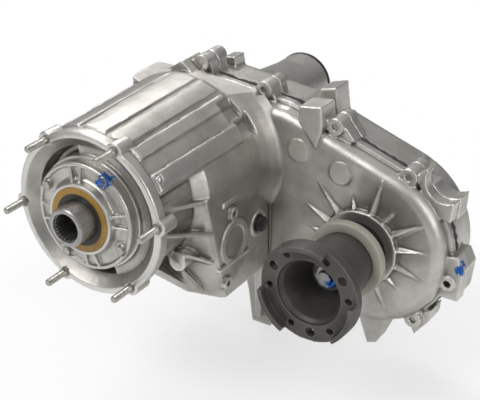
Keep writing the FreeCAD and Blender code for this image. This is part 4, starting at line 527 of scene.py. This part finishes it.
def vertex_rows(mesh: bpy.types.Mesh, what: str) -> np.ndarray:
    """A mesh's vertex places ("co") or normals ("normal") as an (n, 3) array."""
    rows = np.empty(len(mesh.vertices) * 3)
    mesh.vertices.foreach_get(what, rows)
    return rows.reshape(-1, 3)


def edge_list(mesh: bpy.types.Mesh) -> np.ndarray:
    """Vertex pairs of every edge as an (n, 2) array."""
    pairs = np.empty(len(mesh.edges) * 2, dtype=np.int32)
    mesh.edges.foreach_get("vertices", pairs)
    return pairs.reshape(-1, 2)


def edges_per_vertex(pairs: np.ndarray, count: int) -> np.ndarray:
    """How many edges meet in each vertex, at least 1."""
    return np.maximum(np.bincount(pairs.ravel(), minlength=count), 1).astype(float)


def neighbour_mean(values: np.ndarray, pairs: np.ndarray, counts: np.ndarray) -> np.ndarray:
    """Mean of each vertex's neighbours."""
    total = np.zeros_like(values)
    np.add.at(total, pairs[:, 0], values[pairs[:, 1]])
    np.add.at(total, pairs[:, 1], values[pairs[:, 0]])
    return total / counts.reshape(-1, *([1] * (values.ndim - 1)))


RELIEF_ROUNDS = 6
RELIEF_FLOOR = 0.12


def mark_painted_light(thing: bpy.types.Object, reach: float, rounds: int = 3) -> None:
    """Stores how far each vertex lies sunk or proud as two attributes: the masks of painted shade for
    crevices and painted highlight for edges.

    Args:
        thing: The object, with an even mesh.
        reach: Height difference in metres that counts as full.
        rounds: Smoothing rounds of the result.
    """
    mesh = thing.data
    places, normals = vertex_rows(mesh, "co"), vertex_rows(mesh, "normal")
    pairs = edge_list(mesh)
    counts = edges_per_vertex(pairs, len(places))
    smooth = places
    for _ in range(RELIEF_ROUNDS):
        smooth = neighbour_mean(smooth, pairs, counts)
    rise = np.einsum("ij,ij->i", places - smooth, normals)
    for _ in range(rounds):
        rise = neighbour_mean(rise, pairs, counts) * 0.6 + rise * 0.4
    # Sunk vertices get the painted-shade mask, proud ones the painted-highlight mask.
    for label, sign in (("painted_shade", -1.0), ("edge", 1.0)):
        level = np.clip(rise * sign / reach - RELIEF_FLOOR, 0.0, 1.0)
        layer = mesh.attributes.get(label) or mesh.attributes.new(label, "FLOAT", "POINT")
        layer.data.foreach_set("value", level.astype(np.float32))


def finish_mesh(thing: bpy.types.Object, material: bpy.types.Material, smooth_below: float | None) -> None:
    """Gives an object its only material and its shading.

    Args:
        thing: The object.
        material: Its material.
        smooth_below: Edges flatter than this many degrees are shaded smooth; None smooths all.
    """
    mesh = thing.data
    mesh.materials.clear()
    mesh.materials.append(material)
    mesh.shade_smooth()
    if smooth_below is not None:
        mesh.set_sharp_from_angle(angle=math.radians(smooth_below))


RELAX_SHARES = (0.6, -0.62)
BEAD_WAVES = (190.0, 310.0)
BEVEL_ANGLE = 32.0
CREASE_ANGLE = 40.0


@dataclass
class CastSkin:
    """A casting's skin: the CAD solid remeshed finely, its edges rounded off as sand casting leaves them.

    Attributes:
        node: CAD node that the skin stands for.
        slot: Material slot.
        body: Body that it rides on.
        grid: Size of the remeshing grid.
        rounds: Relaxing rounds.
        limit: Most triangles it may keep.
        relief: Height difference that gives the painted shade in crevices or the painted highlight on edges
            in full.
        wave: Mean swell of a squeezed bead, 0 for none.
    """

    node: str
    slot: str
    body: Body
    grid: float = 1.25 * MM
    rounds: int = 3
    limit: int = 194_000
    relief: float = 0.75 * MM
    wave: float = 0.0

    def build(self, frame: dict, finishes: Finishes) -> bpy.types.Object:
        """Makes the skin and lets it stand for its CAD node.

        Args:
            frame: The loaded frame.
            finishes: The scene's materials.

        Returns:
            The skin's object.
        """
        skin = copy_of(frame["nodes"][self.node], f"{self.node}_skin")
        remesh = skin.modifiers.new("even", "REMESH")
        remesh.mode = "VOXEL"
        remesh.voxel_size = self.grid
        remesh.use_smooth_shade = True
        apply_modifiers(skin)
        self.round_off(skin)
        if self.wave:
            self.make_wavy(skin)
        faces = len(skin.data.polygons) * 2
        if faces > self.limit:
            thin = skin.modifiers.new("thin", "DECIMATE")
            thin.ratio = self.limit / faces
            apply_modifiers(skin)
        # Masks for painted shade in crevices and painted highlight on edges.
        mark_painted_light(skin, self.relief)
        finish_mesh(skin, finishes.by_slot[self.slot], None)
        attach(skin, self.body.value)
        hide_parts(self.node)
        LOG.info("%s: %d faces", skin.name, len(skin.data.polygons))
        return skin

    def round_off(self, skin: bpy.types.Object) -> None:
        """Relaxes the even mesh a little without letting it shrink."""
        mesh = skin.data
        places = vertex_rows(mesh, "co")
        low, high = places.min(axis=0), places.max(axis=0)
        pairs = edge_list(mesh)
        counts = edges_per_vertex(pairs, len(places))
        for _ in range(self.rounds):
            for share in RELAX_SHARES:
                places = places + share * (neighbour_mean(places, pairs, counts) - places)
        places = np.clip(places, low, high)
        mesh.vertices.foreach_set("co", places.ravel())
        mesh.update()

    def make_wavy(self, skin: bpy.types.Object) -> None:
        """Swells a bead by a changing amount, as sealant squeezed from a joint."""
        mesh = skin.data
        places, normals = vertex_rows(mesh, "co"), vertex_rows(mesh, "normal")
        low, high = places.min(axis=0), places.max(axis=0)
        along = places @ np.array([1.0, 0.0, 0.7]) * BEAD_WAVES[0]
        around = places @ np.array([-0.6, 0.0, 1.0]) * BEAD_WAVES[1]
        swell = (np.sin(along) + np.sin(around * 1.7 + 2.0) + np.sin(along * 2.3 + around)) / 3
        places = places + normals * (self.wave * (1.0 + swell))[:, None]
        low[1], high[1] = low[1] - self.wave, high[1] + self.wave
        mesh.vertices.foreach_set("co", np.clip(places, low, high).ravel())
        mesh.update()


@dataclass
class SharpPart:
    """A machined or moulded piece: the CAD solid with its edges broken by a small bevel."""

    node: str
    slot: str
    body: Body
    bevel: float = 0.35 * MM

    def build(self, frame: dict, finishes: Finishes) -> bpy.types.Object:
        """Makes the piece and lets it stand for its CAD node.

        Args:
            frame: The loaded frame.
            finishes: The scene's materials.

        Returns:
            The piece's object.
        """
        piece = copy_of(frame["nodes"][self.node], f"{self.node}_fine")
        edge = piece.modifiers.new("broken_edges", "BEVEL")
        edge.width = self.bevel
        edge.segments = 2
        edge.limit_method = "ANGLE"
        edge.angle_limit = math.radians(BEVEL_ANGLE)
        edge.use_clamp_overlap = True
        apply_modifiers(piece)
        finish_mesh(piece, finishes.by_slot[self.slot], CREASE_ANGLE)
        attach(piece, self.body.value)
        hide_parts(self.node)
        LOG.info("%s: %d faces", piece.name, len(piece.data.polygons))
        return piece


# ---------------------------------------------------------------- fasteners, repeated by geometry nodes


def wrap(name: str, rows: Sequence[Sequence[tuple[float, float]]], sides: int) -> bpy.types.Mesh:
    """Skins rows of (radius, y) pairs about the Y axis and closes both ends."""
    places, faces = [], []
    for row in rows:
        for index, (radius, level) in enumerate(row):
            angle = math.tau * index / sides
            places.append((radius * math.cos(angle), level, radius * math.sin(angle)))
    for row in range(len(rows) - 1):
        for index in range(sides):
            after = (index + 1) % sides
            faces.append((row * sides + index, row * sides + after, (row + 1) * sides + after,
                          (row + 1) * sides + index))
    faces.append(tuple(range(sides))[::-1])
    faces.append(tuple((len(rows) - 1) * sides + index for index in range(sides)))
    mesh = bpy.data.meshes.new(name)
    mesh.from_pydata(places, [], faces)
    mesh.update()
    work = bmesh.new()
    work.from_mesh(mesh)
    bmesh.ops.recalc_face_normals(work, faces=work.faces)
    work.to_mesh(mesh)
    work.free()
    return mesh


def threaded(
    name: str, crest: float, start: float, end: float, pitch: float,
    tail: Sequence[tuple[float, float]], sides: int = 20,
) -> bpy.types.Mesh:
    """A rod with a real helical thread from start to end, then plain turned rows.

    Args:
        name: Name of the mesh.
        crest: Outer radius of the thread.
        start: Y where the thread begins.
        end: Y where it ends.
        pitch: Distance between crests.
        tail: (radius, y) rows that follow the thread.
        sides: Faces round the axis.

    Returns:
        A closed mesh.
    """
    root = crest - pitch * 0.55
    rows: list[list[tuple[float, float]]] = [[(crest * 0.6, start)] * sides]
    steps = int((end - start) / pitch * 5)
    for step in range(1, steps + 1):
        level = start + (end - start) * step / steps
        row = []
        for index in range(sides):
            turn = (level / pitch - index / sides) % 1.0
            height = 1.0 - abs(2.0 * turn - 1.0)
            limit = min(1.0, (level - start) / (pitch * 1.4) + 0.15)
            row.append((root + (crest - root) * height * limit, level))
        rows.append(row)
    rows += [[(radius, level)] * sides for radius, level in tail]
    return wrap(name, rows, sides)


HEAD_SIDES = 36


def hex_row(flats: float, corner: float, level: float) -> list[tuple[float, float]]:
    """A hexagon as (radius, y) pairs, its corners cut to a radius."""
    row = []
    for index in range(HEAD_SIDES):
        from_flat = math.tau * index / HEAD_SIDES % (math.pi / 3) - math.pi / 6
        row.append((min(flats / 2 / math.cos(from_flat), corner), level))
    return row


def hex_head(
    name: str, flats: float, seat: float, direction: int, shank: float, reach: float
) -> bpy.types.Mesh:
    """A flange bolt: shank, skirt and a chamfered hexagon.

    Args:
        name: Name of the mesh.
        flats: Width over the hexagon's flats.
        seat: Y of the face it sits on.
        direction: +1 if the shank runs to +Y.
        shank: Shank radius.
        reach: Shank length.

    Returns:
        A closed mesh.
    """
    top = 1.6 * MM + flats * 0.45
    profile = (
        (False, shank, -reach), (False, shank, 0.0),
        (False, flats * 0.62, 0.0), (False, flats * 0.62, 0.6 * MM), (False, flats * 0.585, 1.1 * MM),
        (True, flats * 0.56, 1.75 * MM), (True, flats * 0.60, 2.1 * MM),
        (True, flats * 0.60, top - 0.9 * MM), (True, flats * 0.505, top),
        (False, flats * 0.40, top), (False, flats * 0.37, top - 0.5 * MM),
    )
    rows = []
    for six_sided, radius, out in profile:
        level = seat - direction * out
        rows.append(hex_row(flats, radius, level) if six_sided else [(radius, level)] * HEAD_SIDES)
    return wrap(name, rows, HEAD_SIDES)


def repeat_group() -> bpy.types.NodeTree:
    """Geometry nodes: puts one piece on every vertex of the object, as plain mesh with one material."""
    group = bpy.data.node_groups.new("repeat_on_points", "GeometryNodeTree")
    for label, kind in (("Points", "NodeSocketGeometry"), ("Piece", "NodeSocketObject"),
                        ("Material", "NodeSocketMaterial")):
        group.interface.new_socket(name=label, in_out="INPUT", socket_type=kind)
    group.interface.new_socket(name="Geometry", in_out="OUTPUT", socket_type="NodeSocketGeometry")
    entry, leave = group.nodes.new("NodeGroupInput"), group.nodes.new("NodeGroupOutput")
    piece = group.nodes.new("GeometryNodeObjectInfo")
    piece.transform_space = "ORIGINAL"
    place = group.nodes.new("GeometryNodeInstanceOnPoints")
    real = group.nodes.new("GeometryNodeRealizeInstances")
    dress = group.nodes.new("GeometryNodeSetMaterial")
    group.links.new(entry.outputs["Piece"], piece.inputs["Object"])
    group.links.new(entry.outputs["Points"], place.inputs["Points"])
    group.links.new(piece.outputs["Geometry"], place.inputs["Instance"])
    group.links.new(place.outputs["Instances"], real.inputs["Geometry"])
    group.links.new(real.outputs["Geometry"], dress.inputs["Geometry"])
    group.links.new(entry.outputs["Material"], dress.inputs["Material"])
    group.links.new(dress.outputs["Geometry"], leave.inputs["Geometry"])
    return group


@dataclass(frozen=True)
class Repeat:
    """One fastener node: a fine piece put at each of the CAD solids' axes."""

    node: str
    slot: str
    piece: bpy.types.Mesh
    smooth: float = 32.0

    def build(self, frame: dict, finishes: Finishes, group: bpy.types.NodeTree) -> bpy.types.Object:
        """Makes the repeats and lets them stand for their CAD node.

        Args:
            frame: The loaded frame.
            finishes: The scene's materials.
            group: The repeat_on_points group.

        Returns:
            The finished object.
        """
        mesh = bpy.data.meshes.new(f"{self.node}_fine")
        mesh.from_pydata([(x, 0.0, z) for x, z in self.axes(frame)], [], [])
        row = link(mesh, f"{self.node}_fine")
        piece = link(self.piece, f"{self.node}_piece")
        modifier = row.modifiers.new("repeats", "NODES")
        modifier.node_group = group
        inputs = (item for item in group.interface.items_tree if item.in_out == "INPUT")
        sockets = {item.name: item.identifier for item in inputs}
        modifier[sockets["Piece"]] = piece
        modifier[sockets["Material"]] = finishes.by_slot[self.slot]
        apply_modifiers(row)
        bpy.data.objects.remove(piece)
        finish_mesh(row, finishes.by_slot[self.slot], self.smooth)
        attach(row, Body.CASE.value)
        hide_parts(self.node)
        LOG.info("%s: %d faces", row.name, len(row.data.polygons))
        return row

    def axes(self, frame: dict) -> list[tuple[float, float]]:
        """Middle (x, z) of each separate solid of the CAD node."""
        source = copy_of(frame["nodes"][self.node], "axes")
        work = bmesh.new()
        work.from_mesh(source.data)
        work.verts.ensure_lookup_table()
        seen: set[int] = set()
        found = []
        for vertex in work.verts:
            if vertex.index in seen:
                continue
            stack, island = [vertex], []
            seen.add(vertex.index)
            while stack:
                here = stack.pop()
                island.append(here.co.copy())
                for edge in here.link_edges:
                    other = edge.other_vert(here)
                    if other.index not in seen:
                        seen.add(other.index)
                        stack.append(other)
            xs, zs = [p.x for p in island], [p.z for p in island]
            found.append(((min(xs) + max(xs)) / 2, (min(zs) + max(zs)) / 2))
        work.free()
        bpy.data.objects.remove(source)
        return found


def fasteners() -> tuple[Repeat, ...]:
    """Studs and bolts at their real sizes."""
    stud = threaded("stud", 4.4 * MM, -31 * MM, -4.4 * MM, 1.5 * MM, (
        (4.4 * MM, -3.6 * MM), (4.4 * MM, 0.5 * MM), (5 * MM, 0.5 * MM), (5 * MM, 20 * MM)))
    cover = hex_head("cover_bolt", 10 * MM, -4.5 * MM, 1, 3.5 * MM, 24 * MM)
    case = hex_head("case_bolt", 13 * MM, 279.2 * MM, -1, 4 * MM, 36 * MM)
    tail = hex_head("tail_bolt", 13 * MM, 336 * MM, -1, 4 * MM, 19 * MM)
    return (
        Repeat("input_studs", "zinc_fastener", stud, 50.0),
        Repeat("retainer_bolts", "zinc_fastener", cover),
        Repeat("case_bolts", "zinc_fastener", case),
        Repeat("tail_bolts", "zinc_fastener", tail),
    )


# ---------------------------------------------------------------- stage


CASE_MIDDLE = (0.1, 0.15, -0.02)
FLOOR_WHITE_FROM = 0.62
FLOOR_REACH = 6.0


@dataclass(frozen=True)
class Lamp:
    """A soft lamp: its name, place, width in metres and power in watts."""

    name: str
    at: Point
    size: float
    power: float


LAMPS = (
    Lamp("key", (-0.5, -1.3, 1.6), 0.8, 21.0),
    Lamp("side", (1.9, -0.3, 0.7), 0.6, 10.0),
    Lamp("rear", (-0.9, 1.1, 1.5), 0.8, 13.0),
)


@dataclass(frozen=True)
class Studio:
    """Plain pale floor, soft lamps and the camera."""

    camera_at: Point = (0.777842, -0.916168, 0.616739)
    view: Point = (-0.47605642, 0.75596476, -0.449319)
    up: Point = (-0.23943143, 0.38021067, 0.89337139)
    lens: float = 90.0
    floor_z: float = -0.2625

    def build(self) -> None:
        """Makes the camera, the floor, the lamps and the world."""
        self.make_camera()
        self.make_floor()
        self.make_world()
        for lamp in LAMPS:
            self.make_lamp(lamp)
        bpy.context.scene.view_settings.view_transform = "Standard"

    def make_camera(self) -> None:
        """The camera at the viewing angle of the catalogue picture."""
        ahead, above = Vector(self.view), Vector(self.up)
        right = ahead.cross(above)
        turn = Matrix((right, above, -ahead)).transposed().to_4x4()
        data = bpy.data.cameras.new("camera")
        data.lens = self.lens
        data.sensor_width = 36.0
        data.clip_end = 20.0
        camera = bpy.data.objects.new("camera", data)
        camera.matrix_world = Matrix.Translation(self.camera_at) @ turn
        bpy.context.scene.collection.objects.link(camera)
        bpy.context.scene.camera = camera

    def make_floor(self) -> None:
        """A wide pale floor that is white to the camera and keeps the shadow."""
        mesh = bpy.data.meshes.new("floor")
        turns = ((-1, -1), (1, -1), (1, 1), (-1, 1))
        corners = [(x * FLOOR_REACH, y * FLOOR_REACH, self.floor_z) for x, y in turns]
        mesh.from_pydata(corners, [], [(0, 1, 2, 3)])
        floor = link(mesh, "floor")
        mesh.materials.append(self.floor_material())

    def floor_material(self) -> bpy.types.Material:
        """Matt white, seen by the camera as pure white except for the shadow near the object."""
        material = bpy.data.materials.new("floor")
        material.use_nodes = True
        tree = material.node_tree
        shader = tree.nodes["Principled BSDF"]
        shader.inputs["Base Color"].default_value = (0.93, 0.93, 0.93, 1.0)
        shader.inputs["Roughness"].default_value = 0.9
        shader.inputs["Specular IOR Level"].default_value = 0.1
        white = tree.nodes.new("ShaderNodeEmission")
        place = tree.nodes.new("ShaderNodeTexCoord")
        away = tree.nodes.new("ShaderNodeVectorMath")
        away.operation = "DISTANCE"
        away.inputs[1].default_value = (0.12, 0.12, self.floor_z)
        tree.links.new(place.outputs["Object"], away.inputs[0])
        far = ramp(tree, away.outputs["Value"], 0.15, 0.55)
        share = calculate(tree, "MAXIMUM", far, FLOOR_WHITE_FROM)
        rays = tree.nodes.new("ShaderNodeLightPath")
        seen = calculate(tree, "MULTIPLY", rays.outputs["Is Camera Ray"], share)
        mix = tree.nodes.new("ShaderNodeMixShader")
        tree.links.new(seen, mix.inputs["Fac"])
        tree.links.new(shader.outputs["BSDF"], mix.inputs[1])
        tree.links.new(white.outputs["Emission"], mix.inputs[2])
        tree.links.new(mix.outputs[0], tree.nodes["Material Output"].inputs["Surface"])
        return material

    def make_world(self) -> None:
        """Soft grey light all round, seen as white by the camera and in reflections as a studio."""
        world = bpy.data.worlds.new("studio")
        bpy.context.scene.world = world
        world.use_nodes = True
        tree = world.node_tree
        tree.nodes.clear()
        leave = tree.nodes.new("ShaderNodeOutputWorld")
        rays = tree.nodes.new("ShaderNodeLightPath")
        soft = tree.nodes.new("ShaderNodeBackground")
        place = tree.nodes.new("ShaderNodeTexCoord")
        rise = ramp(tree, split_axes(tree, place.outputs["Generated"])["Z"], 0.05, 0.75)
        tree.links.new(blend_colours(tree, rise, (0.16, 0.16, 0.165), WHITE[:3]), soft.inputs["Color"])
        soft.inputs["Strength"].default_value = 0.58
        white = tree.nodes.new("ShaderNodeBackground")
        white.inputs["Color"].default_value = WHITE
        white.inputs["Strength"].default_value = 1.0
        mix = tree.nodes.new("ShaderNodeMixShader")
        tree.links.new(rays.outputs["Is Camera Ray"], mix.inputs["Fac"])
        tree.links.new(soft.outputs[0], mix.inputs[1])
        tree.links.new(white.outputs[0], mix.inputs[2])
        tree.links.new(mix.outputs[0], leave.inputs["Surface"])

    def make_lamp(self, lamp: Lamp) -> None:
        """A square soft lamp aimed at the middle of the case."""
        data = bpy.data.lights.new(lamp.name, "AREA")
        data.shape = "SQUARE"
        data.size = lamp.size
        data.energy = lamp.power
        thing = bpy.data.objects.new(lamp.name, data)
        aim = Vector(CASE_MIDDLE) - Vector(lamp.at)
        thing.rotation_euler = aim.to_track_quat("-Z", "Y").to_euler()
        thing.location = lamp.at
        bpy.context.scene.collection.objects.link(thing)


# ---------------------------------------------------------------- the scene

SKINS = (
    CastSkin("front_case", "cast_aluminium", Body.CASE),
    CastSkin("rear_case", "cast_aluminium", Body.CASE, grid=1.4 * MM, limit=150_000),
    CastSkin("tail_housing", "cast_aluminium", Body.CASE, grid=1.5 * MM, limit=60_000),
    CastSkin("case_sealant", "sealant", Body.CASE, grid=0.6 * MM, rounds=1, limit=60_000, wave=1.1 * MM),
    CastSkin("input_retainer", "cover_aluminium", Body.CASE, grid=0.9 * MM, rounds=2, limit=80_000),
    CastSkin("output_flange", "dark_flange", Body.FRONT_OUTPUT, grid=1.0 * MM, rounds=2, limit=110_000),
)


SHARP_PARTS = (
    SharpPart("input_gear", "machined_steel", Body.INPUT),
    SharpPart("input_seal", "amber_seal", Body.CASE, 0.5 * MM),
    SharpPart("output_seal", "black_seal", Body.CASE, 0.5 * MM),
    SharpPart("tail_seal", "black_seal", Body.CASE, 0.8 * MM),
    SharpPart("dust_ring", "dust_ring", Body.FRONT_OUTPUT, 1.0 * MM),
    SharpPart("flange_nut", "machined_steel", Body.FRONT_OUTPUT, 0.6 * MM),
    SharpPart("flange_washer", "machined_steel", Body.FRONT_OUTPUT, 0.3 * MM),
    SharpPart("detent_plug", "black_plug", Body.CASE, 0.5 * MM),
    SharpPart("fill_plug", "zinc_fastener", Body.CASE, 0.5 * MM),
    SharpPart("drain_plug", "zinc_fastener", Body.CASE, 0.5 * MM),
    SharpPart("lug_bush", "copper", Body.CASE, 0.3 * MM),
)


def dress_plain_nodes(frame: dict, finishes: Finishes, done: Iterable[str]) -> None:
    """Gives every CAD node that is kept as it is its own material.

    Args:
        frame: The loaded frame.
        finishes: The scene's materials.
        done: Nodes that another piece stands for.
    """
    skip = set(done)
    for name, node in frame["nodes"].items():
        if name in skip:
            continue
        material = finishes.by_slot[finishes.slot_of(name, frame["record"])]
        node.data.materials.clear()
        node.data.materials.append(material)
        LOG.info("%s keeps its CAD shape", name)


def main() -> None:
    """Builds the studio, the finishes and every piece."""
    logging.basicConfig(level=logging.INFO, format="%(name)s: %(message)s")
    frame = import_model()
    Studio().build()
    finishes = Finishes()
    done: list[str] = []
    for skin in SKINS:
        skin.build(frame, finishes)
        done.append(skin.node)
    for part in SHARP_PARTS:
        part.build(frame, finishes)
        done.append(part.node)
    group = repeat_group()
    for row in fasteners():
        row.build(frame, finishes, group)
        done.append(row.node)
    dress_plain_nodes(frame, finishes, done)


if __name__ == "__main__":
    main()
